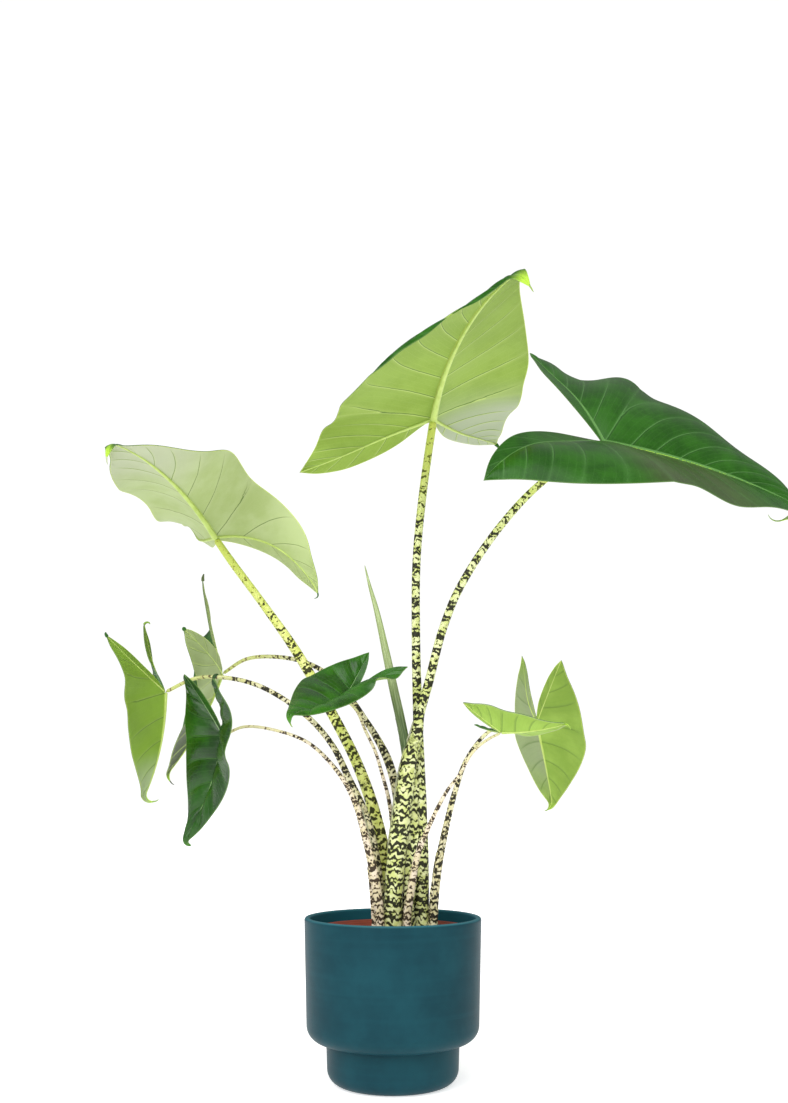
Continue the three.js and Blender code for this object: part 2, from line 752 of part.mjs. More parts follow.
/** Radius of the nursery pot's inner wall at a height. */
function nurseryInside(height) {
  const p = NURSERY_POT;
  const low = COVER_POT.floor + CLEARANCE + p.wall;
  const share = (height - low) / (p.top - p.rimBand - low);
  return THREE.MathUtils.lerp(p.bottomRadius, p.shoulderRadius, share) - p.wall;
}

/** Profile of the thin nursery pot with its rim band. */
function nurseryPotProfile() {
  const p = NURSERY_POT;
  const bottom = COVER_POT.floor + CLEARANCE;
  const shoulder = p.top - p.rimBand;
  return [
    [0, bottom],
    [p.bottomRadius - 2, bottom],
    [p.bottomRadius, bottom + 2],
    [p.shoulderRadius, shoulder],
    [p.rimRadius - 0.6, shoulder + 0.4],
    [p.rimRadius, shoulder + 1],
    [p.rimRadius, p.top - 1],
    [p.rimRadius - 1, p.top],
    [p.rimRadius - p.rimLip, p.top],
    [nurseryInside(shoulder) + 1, shoulder + 2],
    [nurseryInside(shoulder), shoulder],
    [nurseryInside(bottom + p.wall), bottom + p.wall],
    [0, bottom + p.wall],
  ];
}

/** Profile of the soil, a small gap inside the nursery pot and slightly raised in the middle. */
function soilProfile() {
  const bottom = COVER_POT.floor + NURSERY_POT.wall + 2 * CLEARANCE;
  const gap = CLEARANCE + 0.05;
  return [
    [0, bottom],
    [nurseryInside(bottom) - gap, bottom],
    [nurseryInside(SOIL.edge) - gap, SOIL.edge],
    [nurseryInside(SOIL.edge) - 6, SOIL.edge + 1.5],
    [0.6 * NURSERY_POT.shoulderRadius, SOIL.crown],
    [0, SOIL.crown + 0.5],
  ];
}

/** The soil with a plain hole for each stalk. */
function soilGeometry() {
  let soil = toSolid(turned(soilProfile(), NURSERY_POT.segments));
  for (const leaf of LEAVES) {
    const [x, y, , radius] = leaf.stalk[0];
    const low = SOIL.edge - SOIL.stemDepth - CLEARANCE;
    const hole = [[x, y, low, radius], [x, y, SOIL.crown + 20, radius]];
    soil = soil.subtract(toSolid(taperedBar(hole, 2 * leaf.stalkSides, 1, 1.5 * CLEARANCE)));
  }
  return fromSolid(soil);
}

// Assembly

/** A named mesh with its own material. */
function named(name, geometry, finish) {
  const mesh = new THREE.Mesh(geometry, new THREE.MeshStandardMaterial(FINISHES[finish]));
  mesh.name = name;
  return mesh;
}

/** One leaf: stalk and blade in a group. */
function leafGroup(leaf) {
  const group = new THREE.Group();
  group.name = leaf.name;
  const { position, quaternion } = bladePlacement(leaf);
  const blade = named(`${leaf.name}_blade`, bladeGeometry(leaf), "leaf");
  blade.position.copy(position);
  blade.quaternion.copy(quaternion);
  let stalk = stalkGeometry(leaf);
  if (leaf.name === "leaf_3") {
    stalk = stalk.subtract(toSolid(spearRoom()));
  }
  group.add(blade, named(`${leaf.name}_stem`, fromSolid(stalk), "stalk"));
  return group;
}

/** The pots and the soil. */
function potGroup() {
  const group = new THREE.Group();
  group.name = "pots";
  group.add(
    named("cover_pot", turned(coverPotProfile(), COVER_POT.segments), "ceramic"),
    named("nursery_pot", turned(nurseryPotProfile(), NURSERY_POT.segments), "plastic"),
    named("soil", soilGeometry(), "soil"),
  );
  return group;
}

const plant = new THREE.Group();
plant.name = "potted_alocasia_zebrina";
plant.add(potGroup(), ...LEAVES.map(leafGroup), named("spear", spearGeometry(), "spear"));

export default plant;
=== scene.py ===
"""Potted zebra-stemmed alocasia: fine leaves, stalks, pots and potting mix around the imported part.

Sizes are in millimetres and degrees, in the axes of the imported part: Z up, the pot's axis at X = Y = 0
and the foot on Z = 0. Meshes are placed in metres.
"""

import logging
from collections.abc import Callable
from dataclasses import dataclass, replace
from enum import Enum, IntEnum

import bpy
import numpy as np
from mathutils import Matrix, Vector


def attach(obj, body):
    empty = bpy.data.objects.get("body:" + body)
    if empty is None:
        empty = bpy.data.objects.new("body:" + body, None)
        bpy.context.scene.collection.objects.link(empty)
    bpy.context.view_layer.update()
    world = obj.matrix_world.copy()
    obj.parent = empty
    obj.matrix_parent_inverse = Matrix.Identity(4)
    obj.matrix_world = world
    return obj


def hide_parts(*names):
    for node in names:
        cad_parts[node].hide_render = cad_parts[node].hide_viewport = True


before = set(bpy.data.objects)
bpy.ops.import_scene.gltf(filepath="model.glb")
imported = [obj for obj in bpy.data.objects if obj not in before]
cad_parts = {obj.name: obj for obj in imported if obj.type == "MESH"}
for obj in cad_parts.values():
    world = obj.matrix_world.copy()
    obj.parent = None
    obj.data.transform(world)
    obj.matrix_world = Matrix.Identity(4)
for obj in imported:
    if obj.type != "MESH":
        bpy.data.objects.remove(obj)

logging.basicConfig(level=logging.INFO, format="%(message)s")
log = logging.getLogger("alocasia")

MM = 0.001
Pair = tuple[float, float]
Triple = tuple[float, float, float]
Knot = tuple[float, float, float, float]
Piece = bpy.types.Object
Material = bpy.types.Material
Socket = bpy.types.NodeSocket
Value = Socket | float | tuple[float, ...]


# Small helpers


def smooth(value: np.ndarray) -> np.ndarray:
    """Smooth step from 0 to 1."""
    x = np.clip(value, 0.0, 1.0)
    return x * x * (3.0 - 2.0 * x)


def turn(first: np.ndarray, second: np.ndarray, angle: np.ndarray) -> np.ndarray:
    """Direction between two directions, `angle` radians from the first towards the second."""
    return first * np.cos(angle)[..., None] + second * np.sin(angle)[..., None]


def linear(code: int) -> tuple[float, ...]:
    """Scene-linear colour of a hex colour code.

    Args:
        code: Red, green and blue in one number.

    Returns:
        Red, green, blue and alpha.
    """
    shares = [(code >> shift & 255) / 255 for shift in (16, 8, 0)]
    return (*(s / 12.92 if s <= 0.04045 else ((s + 0.055) / 1.055) ** 2.4 for s in shares), 1.0)


def spline(knots: np.ndarray, share: np.ndarray) -> np.ndarray:
    """Points on the even Catmull-Rom curve through knots.

    Args:
        knots: One row for each knot.
        share: Places along the curve, 0 at the first knot and 1 at the last.

    Returns:
        One row for each place.
    """
    last = len(knots) - 1
    place = np.clip(share, 0.0, 1.0) * last
    index = np.minimum(place.astype(int), last - 1)
    f = (place - index)[:, None]
    ends = np.vstack([2 * knots[0] - knots[1], knots, 2 * knots[-1] - knots[-2]])
    a, b, c, d = (ends[index + k] for k in range(4))
    return 0.5 * (2 * b + (c - a) * f + (2 * a - 5 * b + 4 * c - d) * f**2 + (3 * b - a - 3 * c + d) * f**3)


def walked(along: np.ndarray, length: float) -> np.ndarray:
    """Points of a curve that starts at the origin, from its directions at even steps."""
    steps = (along[1:] + along[:-1]) / 2 * (length / (len(along) - 1))
    return np.vstack([np.zeros(3), np.cumsum(steps, axis=0)])


def walk_lengths(points: np.ndarray) -> np.ndarray:
    """Length of the way along a curve up to each of its points."""
    return np.concatenate([[0], np.cumsum(np.linalg.norm(np.diff(points, axis=0), axis=1))])


# Mesh building


def deselect() -> None:
    """Leaves object mode with nothing selected."""
    if bpy.context.object and bpy.context.object.mode != "OBJECT":
        bpy.ops.object.mode_set(mode="OBJECT")
    bpy.ops.object.select_all(action="DESELECT")


def chosen(pieces: list[Piece]) -> None:
    """Selects some pieces and nothing else.

    Args:
        pieces: The pieces; the first becomes the active one.
    """
    deselect()
    for piece in pieces:
        piece.select_set(True)
    bpy.context.view_layer.objects.active = pieces[0]


def named(piece: Piece, name: str) -> Piece:
    """Gives a piece and its mesh a name."""
    piece.name = piece.data.name = name
    return piece


def grid(points: np.ndarray, fields: dict[str, np.ndarray], slot: int = 0) -> Piece:
    """Rectangular sheet of quads laid through points.

    Args:
        points: Rows x columns x 3 places in millimetres; the sheet faces columns x rows.
        fields: Vectors stored at each vertex, rows x columns x 3, by name.
        slot: Material index of the faces.

    Returns:
        The new piece.
    """
    rows, columns = points.shape[:2]
    deselect()
    bpy.ops.mesh.primitive_grid_add(x_subdivisions=columns - 1, y_subdivisions=rows - 1, size=1)
    made = bpy.context.object
    mesh = made.data
    mesh.vertices.foreach_set("co", (points.reshape(-1, 3) * MM).ravel())
    for name, values in fields.items():
        stored = mesh.attributes.new(name, "FLOAT_VECTOR", "POINT")
        stored.data.foreach_set("vector", values.reshape(-1, 3).ravel())
    mesh.polygons.foreach_set("material_index", np.full(len(mesh.polygons), slot))
    mesh.update()
    return made


def joined(pieces: list[Piece], name: str, merge: float = 0.001) -> Piece:
    """One piece of several, with the vertices that meet merged.

    Args:
        pieces: The pieces to join.
        name: Name of the result.
        merge: Distance in millimetres within which vertices are one.

    Returns:
        The joined piece.
    """
    chosen(pieces)
    if len(pieces) > 1:
        bpy.ops.object.join()
    bpy.ops.object.mode_set(mode="EDIT")
    bpy.ops.mesh.select_all(action="SELECT")
    bpy.ops.mesh.remove_doubles(threshold=merge * MM)
    bpy.ops.object.mode_set(mode="OBJECT")
    return named(bpy.context.object, name)


def turned(name: str, profile: list[Pair], segments: int) -> Piece:
    """Round body made by extruding a circle from one height of a profile to the next.

    Args:
        name: Name of the new piece.
        profile: Radius and height of each ring; the first and the last are closed by a fan.
        segments: Vertices of a ring.

    Returns:
        The new piece.
    """
    deselect()
    radius, height = profile[0]
    bpy.ops.mesh.primitive_circle_add(
        vertices=segments, radius=radius * MM, fill_type="TRIFAN", location=(0, 0, height * MM)
    )
    made = bpy.context.object
    bpy.ops.object.transform_apply(location=True)
    bpy.ops.object.mode_set(mode="EDIT")
    bpy.ops.mesh.select_all(action="SELECT")
    bpy.ops.mesh.region_to_loop()
    for next_radius, next_height in profile[1:]:
        bpy.ops.mesh.extrude_region_move(
            TRANSFORM_OT_translate={"value": (0, 0, (next_height - height) * MM)}
        )
        share = next_radius / radius
        bpy.ops.transform.resize(value=(share, share, 1), center_override=(0, 0, next_height * MM))
        radius, height = next_radius, next_height
    bpy.ops.mesh.edge_face_add()
    bpy.ops.mesh.poke()
    bpy.ops.mesh.select_all(action="SELECT")
    bpy.ops.mesh.normals_make_consistent(inside=False)
    bpy.ops.object.mode_set(mode="OBJECT")
    return named(made, name)


def shaded(piece: Piece, angle: float) -> None:
    """Shades a piece smooth, with edges sharper than `angle` degrees kept."""
    chosen([piece])
    bpy.ops.object.shade_smooth_by_angle(angle=np.radians(angle))


def thickened(piece: Piece, thickness: float, under_slots: int) -> None:
    """Gives a sheet its thickness, half of it on each side.

    Args:
        piece: The sheet.
        thickness: Its thickness in millimetres.
        under_slots: How much further down the slots the material of its lower face stands.
    """
    chosen([piece])
    solid = piece.modifiers.new("thickness", "SOLIDIFY")
    solid.thickness = thickness * MM
    solid.offset = 0
    solid.material_offset = under_slots
    bpy.ops.object.modifier_apply(modifier=solid.name)


def dressed(piece: Piece, materials: list[Material]) -> Piece:
    """The piece with materials in its slots and its face indices as they were.

    Args:
        piece: The piece to dress.
        materials: One material for each slot.

    Returns:
        The same piece.
    """
    for material in materials:
        piece.data.materials.append(material)
    return piece


# Shader helpers


class Graph:
    """Adds and wires the nodes of one tree."""

    def __init__(self, tree: bpy.types.NodeTree) -> None:
        """Takes the tree that the nodes go into."""
        self.tree = tree

    def add(self, kind: str, inputs: dict[str | int, Value] | None = None,
            **settings: object) -> bpy.types.Node:
        """Adds a node.

        Args:
            kind: Its type.
            inputs: Values or links for its inputs, by name or index.
            settings: Its properties.

        Returns:
            The node.
        """
        node = self.tree.nodes.new(kind)
        for key, setting in settings.items():
            setattr(node, key, setting)
        for key, value in (inputs or {}).items():
            self.feed(node.inputs[key], value)
        return node

    def feed(self, socket: Socket, value: Value) -> None:
        """Links a socket to another one, or sets its value.

        Args:
            socket: The input socket.
            value: The output socket that feeds it, or its own value.
        """
        if isinstance(value, Socket):
            self.tree.links.new(value, socket)
        else:
            socket.default_value = value

    def math(self, operation: str, *values: Value) -> Socket:
        """Result of one arithmetic step."""
        return self.add("ShaderNodeMath", dict(enumerate(values)), operation=operation).outputs[0]

    def plus(self, first: Value, second: Value) -> Socket:
        """Sum of two numbers."""
        return self.math("ADD", first, second)

    def minus(self, first: Value, second: Value) -> Socket:
        """What is left of the first number without the second."""
        return self.math("SUBTRACT", first, second)

    def times(self, first: Value, second: Value) -> Socket:
        """Product of two numbers."""
        return self.math("MULTIPLY", first, second)

    def over(self, first: Value, second: Value) -> Socket:
        """The first number divided by the second."""
        return self.math("DIVIDE", first, second)

    def apart(self, first: Value, second: Value) -> Socket:
        """How far apart two numbers are."""
        return self.math("ABSOLUTE", self.minus(first, second))

    def off_middle(self, value: Value) -> Socket:
        """How far the fraction of a number is from a half: 0.5 at a whole number."""
        return self.apart(self.math("FRACT", value), 0.5)

    def swing(self, noise: Socket, size: float) -> Socket:
        """Noise made to swing about zero, `size` from its lowest to its highest."""
        return self.times(self.minus(noise, 0.5), size)

    def mix(self, factor: Value, first: Socket | int, second: Socket | int) -> Socket:
        """Colour between two colours.

        Args:
            factor: 0 for the first colour, 1 for the second.
            first: A socket or a hex colour code.
            second: The same.

        Returns:
            The colour's socket.
        """
        node = self.add("ShaderNodeMix", {0: factor}, data_type="RGBA")
        for index, colour in ((6, first), (7, second)):
            self.feed(node.inputs[index], linear(colour) if isinstance(colour, int) else colour)
        return node.outputs[2]

    def step(self, value: Value, low: Value, high: Value, bottom: float = 0.0, top: float = 1.0) -> Socket:
        """Smooth step of a value from `low` to `high`, running from `bottom` to `top`."""
        inputs = {"Value": value, "From Min": low, "From Max": high, "To Min": bottom, "To Max": top}
        return self.add("ShaderNodeMapRange", inputs, interpolation_type="SMOOTHSTEP").outputs[0]

    def noise(self, vector: Socket, scale: float, detail: float = 2.0, rough: float = 0.5) -> Socket:
        """Soft noise between 0 and 1."""
        inputs = {"Vector": vector, "Scale": scale, "Detail": detail, "Roughness": rough}
        return self.add("ShaderNodeTexNoise", inputs).outputs[0]

    def stretch(self, vector: Socket, factors: Triple) -> Socket:
        """Vector multiplied by three factors."""
        return self.add("ShaderNodeVectorMath", {0: vector, 1: factors}, operation="MULTIPLY").outputs[0]

    def parts(self, vector: Socket) -> list[Socket]:
        """The three numbers of a vector."""
        return list(self.add("ShaderNodeSeparateXYZ", {0: vector}).outputs)

    def stored(self, name: str) -> Socket:
        """A stored vertex vector."""
        return self.add("ShaderNodeAttribute", attribute_name=name).outputs["Vector"]

    def place(self) -> Socket:
        """Place in the object, in metres."""
        return self.add("ShaderNodeTexCoord").outputs["Object"]

    def bump(self, height: Socket, strength: float, distance: float) -> Socket:
        """Normal bent by a height; distance in millimetres."""
        inputs = {"Height": height, "Strength": strength, "Distance": distance * MM}
        return self.add("ShaderNodeBump", inputs).outputs[0]

    def effect(self, build: Callable[[], bpy.types.NodeTree], **inputs: Value) -> list[Socket]:
        """Places a shared effect in this tree.

        Args:
            build: Function that makes the effect's group, called when it is first used.
            inputs: Values or links for the group's inputs.

        Returns:
            The outputs of the group.
        """
        tree = bpy.data.node_groups.get(build.__name__) or build()
        return list(self.add("ShaderNodeGroup", inputs, node_tree=tree).outputs)


class Look(Graph):
    """Graph of a new material with one Principled shader."""

    def __init__(self, name: str) -> None:
        """Makes the material.

        Args:
            name: Its name.
        """
        self.material = bpy.data.materials.new(name)
        self.material.use_nodes = True
        super().__init__(self.material.node_tree)
        self.tree.nodes.clear()
        self.shader = self.add("ShaderNodeBsdfPrincipled")
        self.add("ShaderNodeOutputMaterial", {0: self.shader.outputs[0]})

    def wear(self, sockets: dict[str, Value]) -> Material:
        """Feeds the shader and hands over the finished material.

        Args:
            sockets: Values or links for the shader's sockets, by name.

        Returns:
            The material.
        """
        for name, value in sockets.items():
            self.feed(self.shader.inputs[name], value)
        return self.material


def group(build: Callable[[], bpy.types.NodeTree], inputs: list[str], outputs: list[str],
          vector: str = "") -> tuple[bpy.types.NodeTree, Graph, list[Socket], list[Socket]]:
    """A shader node group with number sockets.

    Args:
        build: The function that makes the effect; the group takes its name.
        inputs: Names of its inputs.
        outputs: Names of its outputs.
        vector: Name of the one input that is a vector, if any.

    Returns:
        The group, a graph for it, the sockets that it is given and those that it puts out.
    """
    tree = bpy.data.node_groups.new(build.__name__, "ShaderNodeTree")
    for label in inputs:
        kind = "NodeSocketVector" if label == vector else "NodeSocketFloat"
        tree.interface.new_socket(label, in_out="INPUT", socket_type=kind)
    for label in outputs:
        tree.interface.new_socket(label, in_out="OUTPUT", socket_type="NodeSocketFloat")
    graph = Graph(tree)
    given = list(graph.add("NodeGroupInput").outputs)[: len(inputs)]
    result = list(graph.add("NodeGroupOutput").inputs)[: len(outputs)]
    return tree, graph, given, result


LINE_BLUR = (1.6, 0.4)


def vein_lines() -> bpy.types.NodeTree:
    """Thin lines wherever the vein phase is a whole number.

    Returns:
        The group. Spacing is the way from one line to the next and Width half a line's, in millimetres.
    """
    names = ["Phase", "Spacing", "Width"]
    tree, g, (phase, spacing, width), (line,) = group(vein_lines, names, ["Line"])
    distance = g.times(g.off_middle(g.plus(phase, 0.5)), spacing)
    g.feed(line, g.step(distance, *(g.times(width, share) for share in LINE_BLUR)))
    return tree


ROW_PITCH = 9.0
ZIGZAG_HEIGHT = 21.0
ZIGZAG_GRAIN = (0.16, 0.16, 0.06)
BREAK_GRAIN = (0.16, 0.16, 0.22)
BAND_WANDER = 16.0
BAND_BLUR = (0.36, 0.14)
BAND_WIDTH = 0.32
EVEN_WIDTH = 0.17
BREAK_WIDTH = 1.5
DENSITY_WIDTH = 0.9
MIDDLE_DENSITY = 0.44
MARK_BLUR = 0.04
HALO_WIDTH = 0.16


def zebra_marks() -> bpy.types.NodeTree:
    """Dark zigzag rows round a stalk, broken by noise and wider in bands.

    Returns:
        The group. Bar is the place on the skin and Pitch the way from one band to the next, in
        millimetres. Banding is 1 where the rows keep to the bands and 0 where they are even.
    """
    names = ["Bar", "Pitch", "Density", "Banding"]
    tree, g, (bar, pitch, density, banding), (mark, halo) = group(zebra_marks, names, ["Mark", "Halo"], "Bar")
    along = g.parts(bar)[2]
    wander = g.swing(g.noise(bar, 0.05, 1.0), BAND_WANDER)
    zigzag = g.swing(g.noise(g.stretch(bar, ZIGZAG_GRAIN), 1.0, 0.8), ZIGZAG_HEIGHT)
    shifted = g.plus(along, g.plus(wander, zigzag))
    band = g.times(g.step(g.off_middle(g.over(shifted, pitch)), *BAND_BLUR), banding)
    line = g.off_middle(g.over(g.plus(along, zigzag), ROW_PITCH))
    broken = g.swing(g.noise(g.stretch(bar, BREAK_GRAIN), 1.0, 1.0), BREAK_WIDTH)
    width = g.plus(g.times(band, BAND_WIDTH), broken)
    width = g.plus(width, g.times(g.minus(1.0, banding), EVEN_WIDTH))
    width = g.plus(width, g.times(g.minus(density, MIDDLE_DENSITY), DENSITY_WIDTH))
    g.feed(mark, g.step(line, g.plus(width, MARK_BLUR), g.minus(width, MARK_BLUR)))
    g.feed(halo, g.step(line, g.plus(width, HALO_WIDTH), width))
    return tree


NET_SCALE = 300.0
NET_BLUR = (0.12, 0.02)
BLOTCH_SCALE = 22.0


def fine_network() -> bpy.types.NodeTree:
    """Net of the smallest veins of a blade, and soft blotches.

    Returns:
        The group. Place is in metres.
    """
    tree, g, (place,), (net, blotch) = group(fine_network, ["Place"], ["Net", "Blotch"], "Place")
    cells = g.add("ShaderNodeTexVoronoi", {"Vector": place, "Scale": NET_SCALE}, feature="DISTANCE_TO_EDGE")
    g.feed(net, g.step(cells.outputs["Distance"], *NET_BLUR))
    g.feed(blotch, g.noise(place, BLOTCH_SCALE, 4.0, 0.6))
    return tree


# Finishes


@dataclass(frozen=True)
class BladeFinish:
    """One face of a blade: its greens, ribs and laterals, and how much it shines.

    Tinge colours a part of the blade: the stored zone is within tinge_zone[1] of tinge_zone[0]. On some
    finishes the tinge is a painted sheen or a painted shade, on others a tint of the leaf's own. The zone is
    the share of the length, negative on a lobe and LEFT_ZONE higher on the left half. What ends in reach or
    blur is where a feature begins and where it is full.
    """

    green: int
    deep: int
    rib: int
    vein: int
    shade: int
    margin: int
    tip: int
    tint_and_painted_light: int = 0x808080
    tinge_zone: Pair = (9.0, 0.5)
    tinge_strength: float = 0.0
    tinge_both: bool = False
    vein_reach: Pair = (1.0, 0.7)
    roughness: float = 0.4
    specular: float = 0.4
    vein_strength: float = 0.5
    vein_width: float = 0.7
    rib_width: float = 1.0
    relief: float = 0.5
    shadow_offset: float = 1.1
    small_veins: float = 4.0
    small_width: float = 0.35
    vein_wander: float = 0.1
    glow_reach: Pair = (0.36, 0.5)
    glow_strength: float = 0.3
    small_strength: float = 0.12
    net_strength: float = 0.06
    shadow_strength: float = 1.3
    rib_blur: Pair = (1.25, 0.75)
    margin_reach: Pair = (1.1, 0.4)
    margin_strength: float = 0.8
    tip_reach: Pair = (1.88, 1.98)
    net_height: float = 0.15
    small_height: float = 0.25
    relief_depth: float = 0.35
    roughness_change: float = 0.12

    def material(self, name: str) -> Material:
        """The finish as a material.

        Args:
            name: Name of the material.

        Returns:
            The material.
        """
        g = Look(name)
        phase, spacing, across = g.parts(g.stored("veins"))
        rib, edge, zone = g.parts(g.stored("ribs"))
        net, blotch = g.effect(fine_network, Place=g.place())
        bent = g.plus(phase, g.swing(blotch, self.vein_wander))
        beside = g.plus(bent, g.over(self.shadow_offset, spacing))
        main, shadow = (
            g.effect(vein_lines, Phase=line, Spacing=spacing, Width=self.vein_width)[0]
            for line in (bent, beside)
        )
        small = g.effect(vein_lines, Phase=g.times(bent, self.small_veins),
                         Spacing=g.over(spacing, self.small_veins), Width=self.small_width)[0]
        fade = g.step(across, *self.vein_reach)
        lateral = g.times(main, fade)
        glow = g.step(g.off_middle(bent), *self.glow_reach)
        folded = g.math("MODULO", g.plus(zone, 1.0), LEFT_ZONE)
        middle, half = self.tinge_zone
        place = g.minus(folded, 1.0) if self.tinge_both else zone
        # On some finishes the tinge is a painted sheen or a painted shade, on others a tint of the leaf's
        # own.
        tint_and_light_mask = g.step(g.apart(place, middle), half, half * 0.4, 0.0, self.tinge_strength)
        colour = g.mix(g.step(blotch, 0.35, 0.65), self.deep, self.green)
        for mask, coat in (
            (tint_and_light_mask, self.tint_and_painted_light),
            (g.times(glow, self.glow_strength * self.vein_strength), self.vein),
            (g.times(small, self.small_strength), self.vein),
            (g.times(net, self.net_strength), self.vein),
            (g.times(g.times(shadow, fade), min(1.0, self.shadow_strength * self.vein_strength)), self.shade),
            (g.times(lateral, self.vein_strength), self.vein),
            (g.step(rib, *(share * self.rib_width for share in self.rib_blur)), self.rib),
            (g.times(g.step(edge, *self.margin_reach), self.margin_strength), self.margin),
            (g.step(folded, *self.tip_reach), self.tip),
        ):
            colour = g.mix(mask, colour, coat)
        height = g.plus(g.plus(lateral, g.times(net, self.net_height)), g.times(small, self.small_height))
        return g.wear({
            "Base Color": colour,
            "Roughness": g.plus(self.roughness, g.swing(blotch, self.roughness_change)),
            "Specular IOR Level": self.specular,
            "Normal": g.bump(height, self.relief, self.relief_depth),
        })


@dataclass(frozen=True)
class RibFinish:
    """Raised ribs under a blade."""

    base: int
    dark: int

    def material(self, name: str) -> Material:
        """The finish as a material.

        Args:
            name: Name of the material.

        Returns:
            The material.
        """
        g = Look(name)
        blotch = g.noise(g.place(), 90.0, 3.0)
        return g.wear({
            "Base Color": g.mix(g.step(blotch, 0.35, 0.75), self.base, self.dark),
            "Roughness": 0.42,
            "Normal": g.bump(g.noise(g.place(), 500.0, 2.0), 0.2, 0.2),
        })


@dataclass(frozen=True)
class StalkFinish:
    """Zebra-marked skin of a stalk.

    Base is the skin's colour, light its paler patches and top its colour near the blade; the paler patches
    lie at random and take the colour of the stalk's highlights, so they are partly painted highlight. The
    sheath is the share of the stalk, from the soil up, on which the rows of marks are more even and have the
    low size. The marks thin out over the shares of thin_out.
    """

    base: int
    light: int
    top: int
    mark: int = 0x17170A
    halo: int = 0x8F9A4A
    pitch: float = 20.0
    density: float = 0.5
    size: float = 1.0
    low_size: float = 1.0
    sheath: float = 0.3
    sheath_banding: float = 0.65
    thin_out: Pair = (0.75, 1.0)
    thinning: float = 0.42

    def material(self, name: str) -> Material:
        """The finish as a material.

        Args:
            name: Name of the material.

        Returns:
            The material.
        """
        g = Look(name)
        bar = g.stored("bar")
        rise = g.parts(g.stored("rise"))[0]
        density = g.minus(self.density, g.times(g.step(rise, *self.thin_out), self.thinning))
        banding = g.step(rise, self.sheath, self.sheath + 0.25, self.sheath_banding, 1.0)
        low, high = (
            g.effect(zebra_marks, Bar=g.stretch(bar, (1 / size,) * 3), Pitch=self.pitch / size,
                     Density=density, Banding=banding)
            for size in (self.low_size, self.size)
        )
        upper = g.step(rise, self.sheath + 0.07, self.sheath + 0.1)
        marked, halo = (
            g.plus(g.times(below, g.minus(1.0, upper)), g.times(above, upper))
            for below, above in zip(low, high)
        )
        tint = g.noise(bar, 0.10, 3.0)
        # Paler patches at random in the colour of the stalk's highlights: partly painted highlight.
        colour = g.mix(g.step(tint, 0.38, 0.62), self.base, self.light)
        colour = g.mix(g.step(rise, 0.7, 1.0), colour, self.top)
        colour = g.mix(g.times(halo, 0.75), colour, self.halo)
        mark = g.mix(g.step(rise, 0.8, 1.0, 0.0, 0.8), self.mark, self.halo)
        streak = g.noise(g.stretch(bar, (0.9, 0.9, 0.05)), 1.0, 3.0)
        return g.wear({
            "Base Color": g.mix(g.times(marked, 0.97), colour, mark),
            "Roughness": g.step(marked, 0.0, 1.0, 0.42, 0.55),
            "Specular IOR Level": 0.3,
            "Normal": g.bump(streak, 0.3, 0.3),
        })


@dataclass(frozen=True)
class MembraneFinish:
    """Dry grey-olive edge of a sheath with fine streaks."""

    base: int
    streak: int

    def material(self, name: str) -> Material:
        """The finish as a material.

        Args:
            name: Name of the material.

        Returns:
            The material.
        """
        g = Look(name)
        streak = g.noise(g.stretch(g.stored("bar"), (2.0, 2.0, 0.12)), 1.0, 3.0)
        return g.wear({
            "Base Color": g.mix(g.step(streak, 0.4, 0.65), self.base, self.streak),
            "Roughness": 0.6,
            "Normal": g.bump(streak, 0.3, 0.3),
        })


@dataclass(frozen=True)
class SpearFinish:
    """Rolled new leaf with fine streaks along it, darker low down."""

    base: int
    light: int
    low: int

    def material(self, name: str) -> Material:
        """The finish as a material.

        Args:
            name: Name of the material.

        Returns:
            The material.
        """
        g = Look(name)
        rise = g.parts(g.stored("rise"))[0]
        streak = g.noise(g.stretch(g.stored("bar"), (0.9, 0.9, 0.03)), 1.0, 4.0)
        colour = g.mix(g.step(streak, 0.35, 0.7), self.base, self.light)
        low = g.times(g.step(rise, 0.85, 0.5), g.step(streak, 0.75, 0.4, 0.55, 1.0))
        return g.wear({
            "Base Color": g.mix(low, colour, self.low),
            "Roughness": 0.45,
            "Normal": g.bump(streak, 0.4, 0.4),
        })


@dataclass(frozen=True)
class GlazeFinish:
    """Matte coloured glaze with faint turning lines and clouds, a paler rim that is a painted highlight, and
    a lighter inner wall that is painted light.

    The rim colour, a painted highlight, starts at rim_height. The inside colour, painted light, covers what
    lies within the bore above the foot.
    """

    base: int
    light: int
    rim: int
    inside: int
    rim_height: float = 197.5
    rim_fade: float = 2.3
    bore: float = 100.0
    foot_height: float = 60.0

    def material(self, name: str) -> Material:
        """The finish as a material.

        Args:
            name: Name of the material.

        Returns:
            The material.
        """
        g = Look(name)
        place = g.place()
        cloud = g.noise(place, 14.0, 5.0, 0.6)
        grain = g.noise(place, 900.0, 2.0)
        lines = g.noise(g.stretch(place, (3.0, 3.0, 130.0)), 1.0, 3.0)
        x, y, height = g.parts(place)
        radius = g.math("SQRT", g.plus(g.times(x, x), g.times(y, y)))
        # Painted light: the inner wall, within the bore and above the foot, is painted lighter against the
        # shade inside the pot.
        within = g.step(radius, (self.bore + 1.5) * MM, (self.bore - 0.3) * MM)
        above = g.step(height, self.foot_height * MM, (self.foot_height + 10) * MM)
        # Painted highlight: a paler band along the top of the rim, from rim_height up over rim_fade.
        rim = g.step(height, self.rim_height * MM, (self.rim_height + self.rim_fade) * MM, 0.0, 0.7)
        colour = g.mix(g.step(cloud, 0.3, 0.75), self.base, self.light)
        colour = g.mix(g.step(lines, 0.45, 0.75, 0.0, 0.4), colour, self.light)
        # Painted light on the inner wall.
        colour = g.mix(g.times(within, above), colour, self.inside)
        return g.wear({
            "Base Color": g.mix(rim, colour, self.rim),
            "Roughness": g.step(grain, 0.2, 0.8, 0.34, 0.46),
            "Specular IOR Level": 0.08,
            "Normal": g.bump(g.plus(grain, g.times(lines, 2.0)), 0.25, 0.15),
        })


